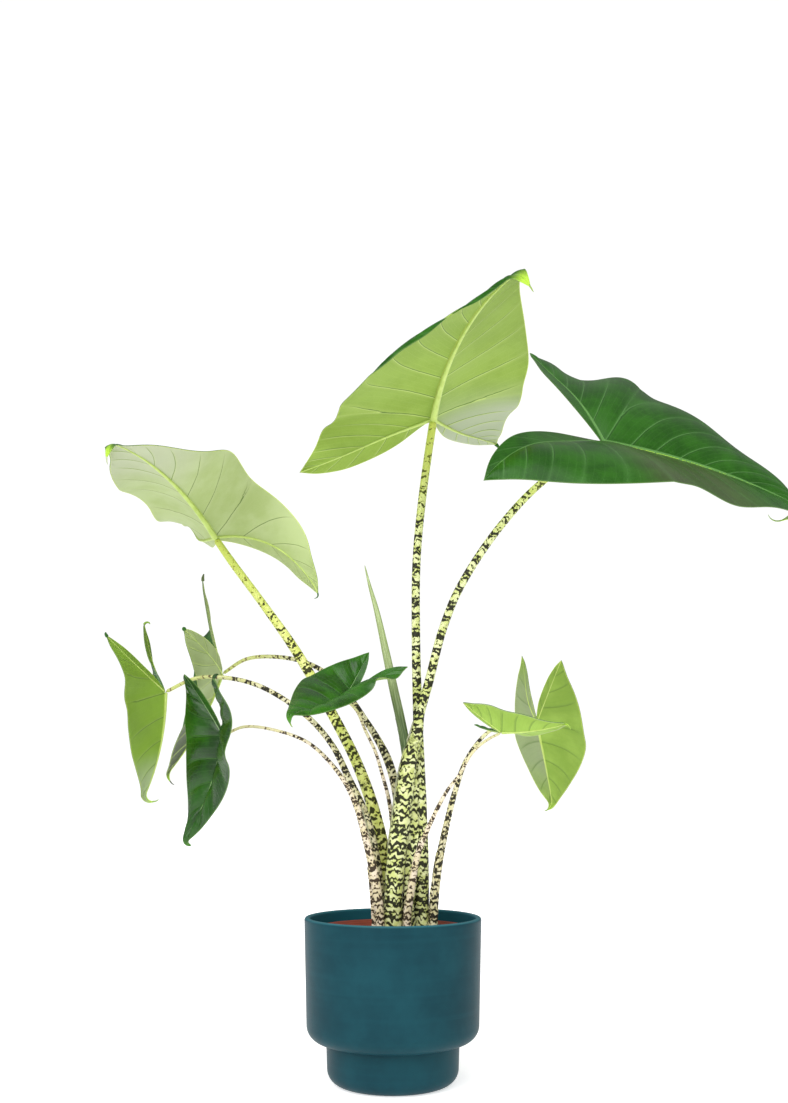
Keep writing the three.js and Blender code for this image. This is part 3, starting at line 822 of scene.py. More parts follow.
@dataclass(frozen=True)
class PlasticFinish:
    """Moulded plastic with a faint grain and fine rings, each ring raised and darkened with painted shade."""

    base: int
    light: int
    dark: int
    ring_pitch: float = 2.6

    def material(self, name: str) -> Material:
        """The finish as a material.

        Args:
            name: Name of the material.

        Returns:
            The material.
        """
        g = Look(name)
        place = g.place()
        colour = g.mix(g.step(g.noise(place, 30.0, 3.0), 0.35, 0.7), self.base, self.light)
        wave = g.math("SINE", g.times(g.parts(place)[2], 2 * np.pi / (self.ring_pitch * MM)))
        # Painted shade: each fine ring is darkened towards the dark colour, besides its bump.
        ring = g.step(wave, 0.2, 0.95)
        relief = g.minus(g.times(g.noise(place, 1200.0, 2.0), 0.3), ring)
        return g.wear({
            "Base Color": g.mix(g.times(ring, 0.45), colour, self.dark),
            "Roughness": 0.45,
            "Normal": g.bump(relief, 0.4, 0.3),
        })


@dataclass(frozen=True)
class MixFinish:
    """Dark potting mix with paler fibres."""

    dark: int
    light: int

    def material(self, name: str) -> Material:
        """The finish as a material.

        Args:
            name: Name of the material.

        Returns:
            The material.
        """
        g = Look(name)
        crumbs = g.noise(g.place(), 260.0, 5.0, 0.7)
        return g.wear({
            "Base Color": g.mix(g.step(crumbs, 0.35, 0.72), self.dark, self.light),
            "Roughness": 0.95,
            "Normal": g.bump(crumbs, 0.8, 1.5),
        })


# Blades


class Side(Enum):
    """Half of a blade, seen from above with the tip in front."""

    RIGHT = 1
    LEFT = -1

    @property
    def pick(self) -> int:
        """Place of this half in a pair."""
        return 0 if self is Side.RIGHT else 1


class Face(IntEnum):
    """Material slots of a blade."""

    UPPER = 0
    UNDER = 1
    RIB = 2


@dataclass(frozen=True)
class Detail:
    """How finely a blade is meshed: rows on the midrib, on a lobe, columns across a half and a web."""

    front: int
    lobe: int
    across: int
    web: int


LARGE = Detail(front=120, lobe=84, across=36, web=7)
MEDIUM = Detail(front=84, lobe=56, across=28, web=6)
SMALL = Detail(front=64, lobe=40, across=22, web=5)

FRONT_OUTLINE = ((0, 1), (0.17, 0.825), (0.46, 0.575), (0.77, 0.288), (1, 0))
LOBE_STEPS = (0.2, 0.42, 0.66, 0.86, 1)
SINUS_OUTLINE = ((0.3, -0.09), (0.62, -0.09), (0.86, -0.05), (1, 0))
RIB_STEPS = 4
TIP_CURL_START = 0.86
BLEND_REACH = 0.45
LIFT_REACH = 0.6
SINUS_DROOP = 0.25
COLUMN_CROWDING = 1.35
COLUMN_EVENNESS = 0.03
CUP_PIVOT = 0.3
LINE_POINTS = 241
ROLL_REACH = 1.6
ROLL_SOFTENING = 0.1
NARROWEST_ROLLED = 20.0
SHORTEST, LONGEST = 0.8, 1.3
LOBE_LEAN = 0.15
WAVE_SOFTENING = 0.15
LEFT_WAVE = 1.7
LEFT_ZONE = 4.0
ROLL_WAVE = 0.28
ROLL_WAVES = 20
LEAN_CURVE = 0.25
LEAN_FULLNESS = 0.7
SPACING_LIMITS = (0.5, 200.0)
QUILT_FULLNESS = 0.8
APEX_REACH = 0.45
WEB_LEAN = 0.5
WEB_RIPPLE = 0.4
BAND_LENGTH = 328
MIDRIB_BAND = (3.2, 2.4)
LOBE_BAND = (2.0, 1.4)
THINNEST_BAND = 0.35
SEAM_MERGE = 0.01
BLADE_CREASE = 40
HOOK_OVERLAP = 2.5
HOOK_RINGS = 14
HOOK_SIDES = 10
HOOK_THINNING = 0.75
DRIP_RADIUS = 0.9
RIDGE_SINK = 0.75
RIDGE_SIDES = 12
# Stored vectors far from any rib, margin or lateral, for the parts of a blade that have none
NO_VEINS = {"ribs": (9.0, 9.0, 0.5), "veins": (0.5, 50.0, 0.0)}


@dataclass
class Rib:
    """Points of a bent rib with the three directions at each of them."""

    point: np.ndarray
    along: np.ndarray
    across: np.ndarray
    up: np.ndarray

    def every(self, step: int) -> "Rib":
        """The rib with only every `step`-th point."""
        return Rib(*(part[::step] for part in (self.point, self.along, self.across, self.up)))


@dataclass
class Half:
    """One half of a blade: its points, and at each row the shares of its ribs and margin and its reach."""

    points: np.ndarray
    y: np.ndarray
    s: np.ndarray
    share: np.ndarray
    reach: np.ndarray


@dataclass(frozen=True)
class Taper:
    """How a raised rib thins out: start, loss and power of its share of the stalk's radius, and an end."""

    start: float
    loss: float
    power: float
    end: float

    def radius(self, stalk_top: float, share: np.ndarray) -> np.ndarray:
        """Radius at shares of the rib's length."""
        return stalk_top * (self.start - self.loss * share**self.power) + self.end


MIDRIB_TAPER = Taper(start=1.0, loss=0.92, power=0.52, end=0.12)
LOBE_TAPER = Taper(start=0.42, loss=0.36, power=0.7, end=0.1)


@dataclass
class Blade:
    """Arrow-shaped blade: a midrib in front of the stalk and two back lobes, each with a rib.

    Pairs hold the right and the left half. Heading, climb and roll turn the blade about its joint with the
    stalk. Length is the midrib and lobe the rib of a back lobe. Width is half the blade at its shoulder
    and shoulder its place in front of the stalk, as shares of the length. Web is how far the lobes are
    grown together. Droop, curl (of the last part), sweep and twist bend the midrib. Fold raises the
    halves beside the stalk and fold_tip at the tip, with fold_side added in front, and cup bends them.
    Spread, lift, bend and turn are the lobes' angles and fullness their roundness. Waves are the count,
    height and start of the margin's waves. Laterals are the counts on the midrib and on a lobe, which
    lean by the share that lean says and between which the sheet is raised by quilt. Margin_roll is the
    turn of a rolled margin over roll_span of the midrib. Drip and hooks are the length and turn of the
    thin ends of the midrib and the lobes, with their slots in hook_slots. Coarse gives the steps of the
    midrib and a lobe by which they share the margin.
    """

    at: Triple
    heading: float
    climb: float
    roll: float
    length: float
    lobe: float
    width: float
    shoulder: float
    web: float
    droop: float
    curl: float
    sweep: float
    fold: float
    fold_tip: float
    twist: float
    fullness: Pair
    cup: Pair
    spread: Pair
    lift: Pair
    bend: Pair
    turn: Pair
    waves: Triple
    detail: Detail
    coarse: tuple[int, int] = (13, 10)
    thickness: float = 0.8
    laterals: Pair = (5.0, 4.0)
    lean: Pair = (0.16, 0.16)
    quilt: float = 1.2
    margin_roll: Pair = (0.0, 0.0)
    roll_span: Pair = (0.3, 0.95)
    roll_width: float = 3.4
    drip: Pair = (9.0, 60.0)
    hooks: tuple[Pair, Pair] = ((0.0, 0.0), (0.0, 0.0))
    hook_slots: tuple[Face, Face, Face] = (Face.UPPER, Face.UPPER, Face.UNDER)
    hook_radius: Pair = (1.0, 1.0)
    front_cup: Pair | None = None
    turn_reach: float = 0.6
    fold_side: Pair = (0.0, 0.0)

    def frame(self) -> tuple[np.ndarray, np.ndarray]:
        """Turn and place of the blade in the plant.

        Returns:
            Its three axes as columns, and the point where it joins its stalk.
        """
        heading, climb, roll = np.radians([self.heading, self.climb, self.roll])
        along = np.array([np.cos(climb) * np.cos(heading), np.cos(climb) * np.sin(heading), np.sin(climb)])
        level = np.array([np.sin(heading), -np.cos(heading), 0.0])
        rise = np.cross(level, along)
        across = level * np.cos(roll) + rise * np.sin(roll)
        up = rise * np.cos(roll) - level * np.sin(roll)
        return np.stack([across, along, up], axis=1), np.array(self.at, float)

    def placed(self, points: np.ndarray) -> np.ndarray:
        """Points of the blade's own axes placed in the plant."""
        axes, at = self.frame()
        return points @ axes.T + at

    def midrib(self) -> Rib:
        """The bent midrib from the stalk to the tip, RIB_STEPS steps to a row.

        Returns:
            The rib in the blade's own axes.
        """
        y = np.linspace(0, 1, RIB_STEPS * (self.detail.front - 1) + 1)
        x_axis, y_axis, z_axis = np.eye(3)
        curled = smooth((y - TIP_CURL_START) / (1 - TIP_CURL_START))
        bend = -np.radians(self.droop) * y - np.radians(self.curl) * curled
        sweep = np.radians(self.sweep) * y
        level = turn(y_axis, z_axis, bend)
        along = level * np.cos(sweep)[:, None] + x_axis * np.sin(sweep)[:, None]
        up = turn(z_axis, -y_axis, bend)
        across = np.cross(along, up)
        twist = np.radians(self.twist) * y
        return Rib(walked(along, self.length), along, turn(across, up, twist), turn(up, -across, twist))

    def lobe_rib(self, side: Side) -> Rib:
        """The bent rib of one back lobe, RIB_STEPS steps to a row.

        Args:
            side: The half that the lobe belongs to.

        Returns:
            The rib in the blade's own axes.
        """
        half = side.pick
        s = np.linspace(0, 1, RIB_STEPS * (self.detail.lobe - 1) + 1)
        fold, spread = np.radians([self.fold, self.spread[half]])
        x_axis, y_axis, z_axis = np.eye(3)
        x_out = x_axis * side.value
        outward = x_out * np.cos(fold) + z_axis * np.sin(fold)
        upward = z_axis * np.cos(fold) - x_out * np.sin(fold)
        backward = outward * np.sin(spread) - y_axis * np.cos(spread)
        sideward = outward * np.cos(spread) + y_axis * np.sin(spread)
        rise = np.radians(self.lift[half]) * smooth(s / LIFT_REACH) + np.radians(self.bend[half]) * s
        rolled = np.radians(self.turn[half]) * smooth(s / self.turn_reach)
        along = turn(backward, upward, rise)
        up = turn(upward, -backward, rise)
        return Rib(walked(along, self.lobe), along, turn(sideward, up, rolled), turn(up, -sideward, rolled))

    def outline(self, side: Side, share: np.ndarray) -> np.ndarray:
        """Margin of one flat half from the tip round to the end of its lobe.

        Args:
            side: The half.
            share: Places along the margin, 0 at the tip and 1 at the end of the lobe.

        Returns:
            Places across and along the blade, one row for each share.
        """
        back, out = self.lobe_axes(side)
        front = [
            (x * self.width * self.length, (self.shoulder + (1 - self.shoulder) * y) * self.length)
            for x, y in FRONT_OUTLINE
        ]
        shoulder = np.array(front[-1])
        start = shoulder @ back
        full = self.fullness[side.pick]
        lobe = [
            back * (start + (self.lobe - start) * f) + out * (shoulder @ out) * (1 - f**full)
            for f in LOBE_STEPS
        ]
        return spline(np.array([*front, *lobe]), share)

    def lobe_axes(self, side: Side) -> tuple[np.ndarray, np.ndarray]:
        """Flat directions along a lobe's rib and straight out from it."""
        spread = np.radians(self.spread[side.pick])
        return np.array([np.sin(spread), -np.cos(spread)]), np.array([np.cos(spread), np.sin(spread)])

    def columns(self) -> np.ndarray:
        """Shares of the way from rib to margin at which a half has its columns."""
        even = np.linspace(0, 1, self.detail.across + 1)
        return even**COLUMN_CROWDING * (1 - COLUMN_EVENNESS) + COLUMN_EVENNESS * even

    def cross_lines(self, offset: np.ndarray, along: np.ndarray, across: np.ndarray, up: np.ndarray,
                    cup: float, rolled: float, roll: np.ndarray) -> np.ndarray:
        """Lines across a half that leave the rib and bend by a cup angle.

        Args:
            offset: For each row how far the margin lies along and across from the rib.
            along: Direction along the rib at each row.
            across: Direction across the half at each row.
            up: Direction out of the upper side at each row.
            cup: Degrees by which each line bends from the rib to the margin.
            rolled: Degrees by which a rolled margin turns in addition.
            roll: How strongly the margin is rolled at each row, 0 to 1.

        Returns:
            Rows x columns x 3 points relative to the rib.
        """
        t = self.columns()
        fine = np.linspace(0, 1, LINE_POINTS)
        part = (self.roll_width / np.maximum(np.abs(offset[:, 1]), NARROWEST_ROLLED))[:, None]
        curl = smooth((fine[None] - 1 + part * ROLL_REACH) / part)
        angle = np.radians(cup) * (fine[None] - CUP_PIVOT) + roll[:, None] * np.radians(rolled) * curl
        longer = 1 + roll[:, None] * part * np.sign(abs(rolled))
        reach = np.stack([np.cos(angle), np.sin(angle)], axis=2) * longer[..., None]
        steps = (reach[:, 1:] + reach[:, :-1]) / 2 / (len(fine) - 1)
        run = np.concatenate([np.zeros((len(roll), 1, 2)), np.cumsum(steps, axis=1)], axis=1)
        flat, raised = (np.array([np.interp(t, fine, row) for row in run[:, :, k]]) for k in (0, 1))
        return (
            along[:, None] * (offset[:, 0:1] * t)[..., None]
            + across[:, None] * (offset[:, 1:2] * flat)[..., None]
            + up[:, None] * (offset[:, 1:2] * raised)[..., None]
        )

    def half(self, side: Side, midrib: Rib) -> Half:
        """One half from the tip along the midrib and on along the lobe rib.

        Args:
            side: The half.
            midrib: The midrib, RIB_STEPS steps to a row.

        Returns:
            The half in the blade's own axes.
        """
        front, lobe = self.detail.front, self.detail.lobe
        coarse_front, coarse_lobe = self.coarse
        bend = (coarse_front - 1) / (coarse_front + coarse_lobe - 2)
        y = np.concatenate([np.linspace(1, 0, front), np.zeros(lobe - 1)])
        s = np.concatenate([np.zeros(front), np.linspace(0, 1, lobe)[1:]])
        share = (1 - y) * bend + s * (1 - bend)
        back, out = self.lobe_axes(side)
        spine = np.stack([np.zeros_like(y), y * self.length], axis=1) + s[:, None] * self.lobe * back
        offset = self.outline(side, share) - spine
        mid = midrib.every(RIB_STEPS)
        rib = self.lobe_rib(side).every(RIB_STEPS)
        here = np.concatenate([np.arange(front)[::-1], np.zeros(lobe - 1, int)])
        there = np.concatenate([np.zeros(front, int), np.arange(1, lobe)])
        fold = np.radians(self.fold + (self.fold_tip - self.fold) * y + self.fold_side[side.pick])
        across, up = mid.across[here] * side.value, mid.up[here]
        low, high = self.roll_span
        ends = smooth((y - low) / ROLL_SOFTENING) * smooth((high - y) / ROLL_SOFTENING)
        roll = ends * (1 - ROLL_WAVE + ROLL_WAVE * np.cos(ROLL_WAVES * y))
        rolled = self.margin_roll[side.pick]
        cup = (self.front_cup or self.cup)[side.pick]
        front_lines = self.cross_lines(offset[:, ::-1], mid.along[here], turn(across, up, fold),
                                       turn(up, -across, fold), cup, rolled, roll)
        lobe_offset = np.stack([offset @ back, offset @ out], axis=1)
        lobe_lines = self.cross_lines(lobe_offset, rib.along[there], rib.across[there], rib.up[there],
                                      self.cup[side.pick], rolled, roll)
        blend = smooth((BLEND_REACH - y + s) / (2 * BLEND_REACH))[:, None, None]
        lines = front_lines * (1 - blend) + lobe_lines * blend
        drawn = np.linalg.norm(lines[:, -1], axis=1)
        wanted = np.linalg.norm(offset, axis=1)
        stretch = np.sqrt(np.clip(wanted / np.maximum(drawn, 1e-6), SHORTEST, LONGEST))
        root = np.where((s > 0)[:, None], rib.point[there], mid.point[here])
        points = lines * stretch[:, None, None] + root[:, None]
        return Half(points, y, s, share, wanted)

    def sinus(self, side: Side) -> np.ndarray:
        """Margin between the two lobes.

        Args:
            side: The half.

        Returns:
            One point for each row of the lobe rib.
        """
        back, out = self.lobe_axes(side)
        knots = [(0, -self.web * self.lobe)]
        knots += [tuple(back * a * self.lobe + out * b * self.lobe) for a, b in SINUS_OUTLINE]
        s = np.linspace(0, 1, self.detail.lobe)
        rib = self.lobe_rib(side).every(RIB_STEPS)
        offset = spline(np.array(knots), s) - s[:, None] * self.lobe * back
        reach = (offset @ out)[:, None]
        return (
            rib.point
            + rib.along * (offset @ back)[:, None]
            + rib.across * reach * np.cos(SINUS_DROOP)
            - rib.up * reach * np.sin(SINUS_DROOP)
        )

    def vein_phase(self, side: Side, y: np.ndarray, s: np.ndarray, t: np.ndarray) -> np.ndarray:
        """Counts the laterals, which lean towards the tips.

        Args:
            side: The half.
            y: Share of the midrib at each row.
            s: Share of the lobe rib at each row.
            t: Share of the way to the margin at each column.

        Returns:
            A number for each row and column, whole where it lies on a lateral.
        """
        lean = (1 - LEAN_CURVE) * t + LEAN_CURVE * t**2
        front = y - self.lean[side.pick] * np.sin(np.pi * np.clip(y, 0, 1)) ** LEAN_FULLNESS * lean
        lobe = s - LOBE_LEAN * np.sin(np.pi * s) * lean
        return lobe * self.laterals[1] - front * self.laterals[0]

    def fields(self, points: np.ndarray, phase: np.ndarray, rib: np.ndarray, edge: np.ndarray,
               zone: np.ndarray, t: np.ndarray) -> dict[str, np.ndarray]:
        """What the blade's shader reads at each vertex of a sheet.

        Args:
            points: Rows x columns x 3 places.
            phase: Count of the laterals at each point.
            rib: How far each point lies from the rib, in half widths of the rib's band.
            edge: Millimetres from each point to the margin.
            zone: Part of the blade that each point belongs to.
            t: Share of the way to the margin at each column.

        Returns:
            The stored vectors by name.
        """
        step = np.linalg.norm(np.gradient(points, axis=0), axis=2)
        change = np.abs(np.gradient(phase, axis=0)) + 1e-5
        spacing = np.clip(step / change, *SPACING_LIMITS)
        return {
            "veins": np.stack([phase, spacing, np.broadcast_to(t, phase.shape)], axis=2),
            "ribs": np.stack([rib, edge, np.broadcast_to(zone, phase.shape)], axis=2),
        }

    @staticmethod
    def normals(points: np.ndarray) -> np.ndarray:
        """Directions out of a sheet of points, columns x rows."""
        face = np.cross(np.gradient(points, axis=1), np.gradient(points, axis=0))
        return face / np.maximum(np.linalg.norm(face, axis=2, keepdims=True), 1e-9)

    def relief(self, points: np.ndarray, phase: np.ndarray, t: np.ndarray, wave: np.ndarray,
               facing: float) -> np.ndarray:
        """A sheet with its waved margin, and raised a little between the laterals.

        Args:
            points: Rows x columns x 3 places of the smooth sheet.
            phase: Count of the laterals at each point.
            t: Share of the way to the margin at each column.
            wave: How far the margin's wave lifts each point.
            facing: 1 where the sheet's own faces are turned to the upper side, otherwise -1.

        Returns:
            The places in relief.
        """
        between = np.abs(np.sin(np.pi * phase)) ** QUILT_FULLNESS
        quilt = self.quilt * between * np.sin(np.pi * t**QUILT_FULLNESS)
        return points + self.normals(points) * (facing * (quilt + wave))[..., None]

    def sheets(self) -> list[Piece]:
        """The sheets of both halves and of the webs behind their lobe ribs.

        Returns:
            Half and web of the right side, then of the left.
        """
        midrib = self.midrib()
        halves = {side: self.half(side, midrib) for side in Side}
        margins = {side: self.sinus(side) for side in Side}
        apex = (margins[Side.RIGHT][0] + margins[Side.LEFT][0]) / 2
        count, height, start = self.waves
        made = []
        for side in Side:
            share = halves[side].share[:, None]
            ends = smooth(share / WAVE_SOFTENING) * smooth((1 - share) / WAVE_SOFTENING)
            ripple = height * ends * np.sin(2 * np.pi * count * share + start + side.pick * LEFT_WAVE)
            made.append(self.half_sheet(side, halves[side], ripple))
            made.append(self.web_sheet(side, halves[side], margins[side], apex, ripple))
        return made

    def half_sheet(self, side: Side, part: Half, ripple: np.ndarray) -> Piece:
        """The sheet of one half.

        Args:
            side: Which half it belongs to.
            part: That half.
            ripple: Height of its margin's wave at each row.

        Returns:
            The new piece.
        """
        t = self.columns()[None]
        y, s, reach = (values[:, None] for values in (part.y, part.s, part.reach))
        phase = self.vein_phase(side, y, s, t)
        zone = np.where(s > 0, -s, y) + LEFT_ZONE * side.pick
        band = self.rib_band(np.where(s > 0, s, y), s > 0)
        points = self.relief(part.points, phase, t, ripple * t**2, -side.value)
        fields = self.fields(points, phase, reach * t / band, reach * (1 - t), zone, t)
        return self.sheet(points, fields, flip=side is Side.RIGHT)

    def web_sheet(self, side: Side, part: Half, margin: np.ndarray, apex: np.ndarray,
                  ripple: np.ndarray) -> Piece:
        """The narrow sheet between a lobe rib and the margin of the sinus.

        Args:
            side: Which half it belongs to.
            part: That half.
            margin: Margin between the lobes on that side.
            apex: Point in which the margins of both halves meet.
            ripple: Height of the outer margin's wave at each row.

        Returns:
            The new piece.
        """
        front = self.detail.front - 1
        row = np.arange(self.detail.lobe) / (self.detail.lobe - 1)
        margin = margin + (apex - margin[0]) * (1 - smooth(row / APEX_REACH))[:, None]
        root = part.points[front:, 0]
        w = np.linspace(0, 1, self.detail.web + 1)
        web = root[:, None] * (1 - w)[None, :, None] + margin[:, None] * w[None, :, None]
        phase = self.vein_phase(side, np.zeros((len(row), 1)), row[:, None], w[None] * WEB_LEAN)
        fall = WEB_RIPPLE * ripple[front:] * w[None] ** 2
        web = web + self.normals(web) * (side.value * fall)[..., None]
        reach = np.linalg.norm(margin - root, axis=1)[:, None]
        band = self.rib_band(row[:, None], np.full((len(row), 1), True))
        zone = LEFT_ZONE * side.pick - row[:, None]
        fields = self.fields(web, phase, reach * w / band, reach * (1 - w), zone, w[None])
        return self.sheet(web, fields, flip=side is Side.LEFT)

    def rib_band(self, along: np.ndarray, on_lobe: np.ndarray) -> np.ndarray:
        """Half the width of the coloured band over a rib.

        Args:
            along: Share of the rib's length.
            on_lobe: Whether the rib is a lobe's and not the midrib.

        Returns:
            Half widths in millimetres.
        """
        size = self.length / BAND_LENGTH
        midrib, lobe = (size * (start - loss * along) for start, loss in (MIDRIB_BAND, LOBE_BAND))
        return np.maximum(np.where(on_lobe, lobe, midrib), THINNEST_BAND)

    def sheet(self, points: np.ndarray, fields: dict[str, np.ndarray], flip: bool) -> Piece:
        """One sheet in the plant, facing the upper side.

        Args:
            points: Rows x columns x 3 places in the blade's own axes.
            fields: Vectors stored at each vertex, by name.
            flip: Whether its rows are turned round, so that it faces the other way.

        Returns:
            The new piece.
        """
        placed = self.placed(points)
        if flip:
            placed = placed[::-1]
            fields = {name: values[::-1] for name, values in fields.items()}
        return grid(placed, fields)

    def ridges(self, stalk_top: float) -> list[Piece]:
        """Raised ribs on the underside, and the hooked tips.

        Args:
            stalk_top: Radius of the stalk where it meets the blade.

        Returns:
            The midrib, both lobe ribs and the hooks, one piece each.
        """
        midrib = self.midrib()
        made = [self.ridge(midrib, MIDRIB_TAPER, stalk_top)]
        for side in Side:
            rib = self.lobe_rib(side)
            made.append(self.ridge(rib, LOBE_TAPER, stalk_top))
            if self.hooks[side.pick][0]:
                made.append(self.hook(rib, *self.hooks[side.pick], self.hook_radius[side.pick],
                                      self.hook_slots[side.pick]))
        if self.drip[0]:
            made.append(self.hook(midrib, *self.drip, DRIP_RADIUS, self.hook_slots[2]))
        return made

    def hook(self, rib: Rib, length: float, curl: float, radius: float, face: Face) -> Piece:
        """Thin curled end of a rib.

        Args:
            rib: The rib whose last point it continues.
            length: Its length in millimetres.
            curl: Degrees by which it turns, positive towards the underside.
            radius: Its radius at its root.
            face: Material slot that it wears.

        Returns:
            The new piece.
        """
        share = np.linspace(0, 1, HOOK_RINGS)
        path = walked(turn(rib.along[-1], -rib.up[-1], np.radians(curl) * share), length)
        start = rib.point[-1] - rib.along[-1] * HOOK_OVERLAP
        size = radius * (1 - HOOK_THINNING * share**2)
        return tube(self.placed(start + path), size, HOOK_SIDES, face, fields=NO_VEINS)

    def ridge(self, rib: Rib, taper: Taper, stalk_top: float) -> Piece:
        """One raised rib: a tube sunk into the underside of the blade.

        Args:
            rib: The rib that it follows.
            taper: How it thins out.
            stalk_top: Radius of the stalk where it meets the blade.

        Returns:
            The new piece.
        """
        radius = taper.radius(stalk_top, np.linspace(0, 1, len(rib.point)))[::RIB_STEPS]
        rib = rib.every(RIB_STEPS)
        centre = rib.point - rib.up * (radius * RIDGE_SINK)[:, None]
        return tube(self.placed(centre), radius, RIDGE_SIDES, Face.RIB)

    def build(self, name: str, stalk_top: float, faces: list[Material]) -> Piece:
        """The whole blade as one piece.

        Args:
            name: Its name.
            stalk_top: Radius of the stalk where it meets the blade.
            faces: Materials of its upper side, its underside and its ribs.

        Returns:
            The new piece.
        """
        blade = dressed(joined(self.sheets(), name, SEAM_MERGE), faces)
        thickened(blade, self.thickness, Face.UNDER)
        ridges = [dressed(ridge, faces) for ridge in self.ridges(stalk_top)]
        blade = joined([blade, *ridges], name)
        shaded(blade, BLADE_CREASE)
        return blade


# Tubes and stalks

CURVE_POINTS = 4000
RIBBON_ROWS = 60
RIBBON_COLUMNS = 5
RIBBON_TAPER = 8
RIBBON_RIPPLE = 0.12
RIBBON_WAVES = 23
STALK_CREASE = 60
ROLL_CREASE = 50


def bar_curve(knots: np.ndarray, count: int) -> tuple[np.ndarray, np.ndarray]:
    """Centripetal Catmull-Rom curve at even distances.

    Args:
        knots: Place and radius of each knot.
        count: Points wanted.

    Returns:
        The points, and the radius at each of them.
    """
    places = knots[:, :3]
    ends = np.vstack([2 * places[0] - places[1], places, 2 * places[-1] - places[-2]])
    share = np.linspace(0, len(places) - 1, CURVE_POINTS)
    index = np.minimum(share.astype(int), len(places) - 2)
    f = (share - index)[:, None]
    a, b, c, d = (ends[index + k] for k in range(4))
    before, between, after = (
        np.sqrt(np.linalg.norm(q - p, axis=1))[:, None] for p, q in ((a, b), (b, c), (c, d))
    )
    leave = ((b - a) / before - (c - a) / (before + between) + (c - b) / between) * between
    arrive = ((c - b) / between - (d - b) / (between + after) + (d - c) / after) * between
    dense = b + leave * f + (3 * (c - b) - 2 * leave - arrive) * f**2 + (2 * (b - c) + leave + arrive) * f**3
    radius = knots[index, 3] + (knots[index + 1, 3] - knots[index, 3]) * f[:, 0]
    run = walk_lengths(dense)
    even = np.linspace(0, run[-1], count)
    points = np.stack([np.interp(even, run, dense[:, k]) for k in range(3)], axis=1)
    return points, np.interp(even, run, radius)


def tube_frames(centre: np.ndarray) -> tuple[np.ndarray, np.ndarray, np.ndarray]:
    """Directions of a curve that don't spin about it.

    Args:
        centre: Points along the curve.

    Returns:
        The direction along it and two across it, at each point.
    """
    along = np.gradient(centre, axis=0)
    along /= np.linalg.norm(along, axis=1, keepdims=True)
    first = np.zeros_like(along)
    start = np.array([1.0, 0.0, 0.0]) if abs(along[0, 0]) < 0.9 else np.array([0.0, 1.0, 0.0])
    for i, direction in enumerate(along):
        start = start - direction * (start @ direction)
        start /= np.linalg.norm(start)
        first[i] = start
    return along, first, np.cross(along, first)


def tube(centre: np.ndarray, radius: np.ndarray, sides: int, slot: int = 0,
         swell: np.ndarray | None = None, fields: dict[str, Triple] | None = None) -> Piece:
    """Closed tube of changing radius; its vertices store their place on the skin.

    Args:
        centre: Points along its middle.
        radius: Its radius at each point.
        sides: Vertices round it.
        slot: Material index of its faces.
        swell: Factor on the radius, points x (sides + 1).
        fields: Vectors stored alike at all its vertices, by name.

    Returns:
        The new piece.
    """
    _, first, second = tube_frames(centre)
    angle = np.linspace(0, 2 * np.pi, sides + 1)
    out = first[:, None] * np.cos(angle)[None, :, None] + second[:, None] * np.sin(angle)[None, :, None]
    size = np.broadcast_to(radius[:, None], (len(centre), sides + 1)).copy()
    size[0] = 0
    size[-1] = 0
    if swell is not None:
        size = size * swell
    points = centre[:, None] + out * size[..., None]
    run = walk_lengths(centre)
    around = [wave(angle)[None] * radius[:, None] for wave in (np.cos, np.sin)]
    skin = np.stack([*around, np.broadcast_to(run[:, None], size.shape)], axis=2)
    rise = np.broadcast_to((run / run[-1])[:, None, None], (*size.shape, 3))
    stored = {name: np.broadcast_to(value, skin.shape) for name, value in (fields or {}).items()}
    made = grid(points, {"bar": skin, "rise": rise, **stored}, slot)
    return joined([made], made.name)


@dataclass
class Membrane:
    """Thin dry edge of a sheath: a narrow ribbon along a stalk."""

    path: tuple[Triple, ...]
    width: float
    lean: float = 0.0
    marked: bool = False
    thickness: float = 0.5

    def build(self) -> Piece:
        """The ribbon, wide across the line of sight; a marked one wears the skin of the stalk.

        Returns:
            The new piece.
        """
        row = np.linspace(0, 1, RIBBON_ROWS)
        middle = spline(np.array(self.path, float), row)
        across = np.array([np.cos(np.radians(self.lean)), np.sin(np.radians(self.lean)), 0.0])
        share = np.linspace(-0.5, 0.5, RIBBON_COLUMNS)
        taper = smooth(row * RIBBON_TAPER) * smooth((1 - row) * RIBBON_TAPER)
        ripple = RIBBON_RIPPLE * np.sin(np.linspace(0, RIBBON_WAVES, RIBBON_ROWS))
        offset = (share[None] + ripple[:, None] * (share[None] > 0)) * self.width * taper[:, None]
        points = middle[:, None] + across * offset[..., None]
        run = np.linspace(0, walk_lengths(middle)[-1], RIBBON_ROWS)[:, None]
        skin = np.stack([offset, np.zeros_like(offset), np.broadcast_to(run, offset.shape)], axis=2)
        return grid(points, {"bar": skin, "rise": np.zeros_like(skin)}, slot=0 if self.marked else 1)


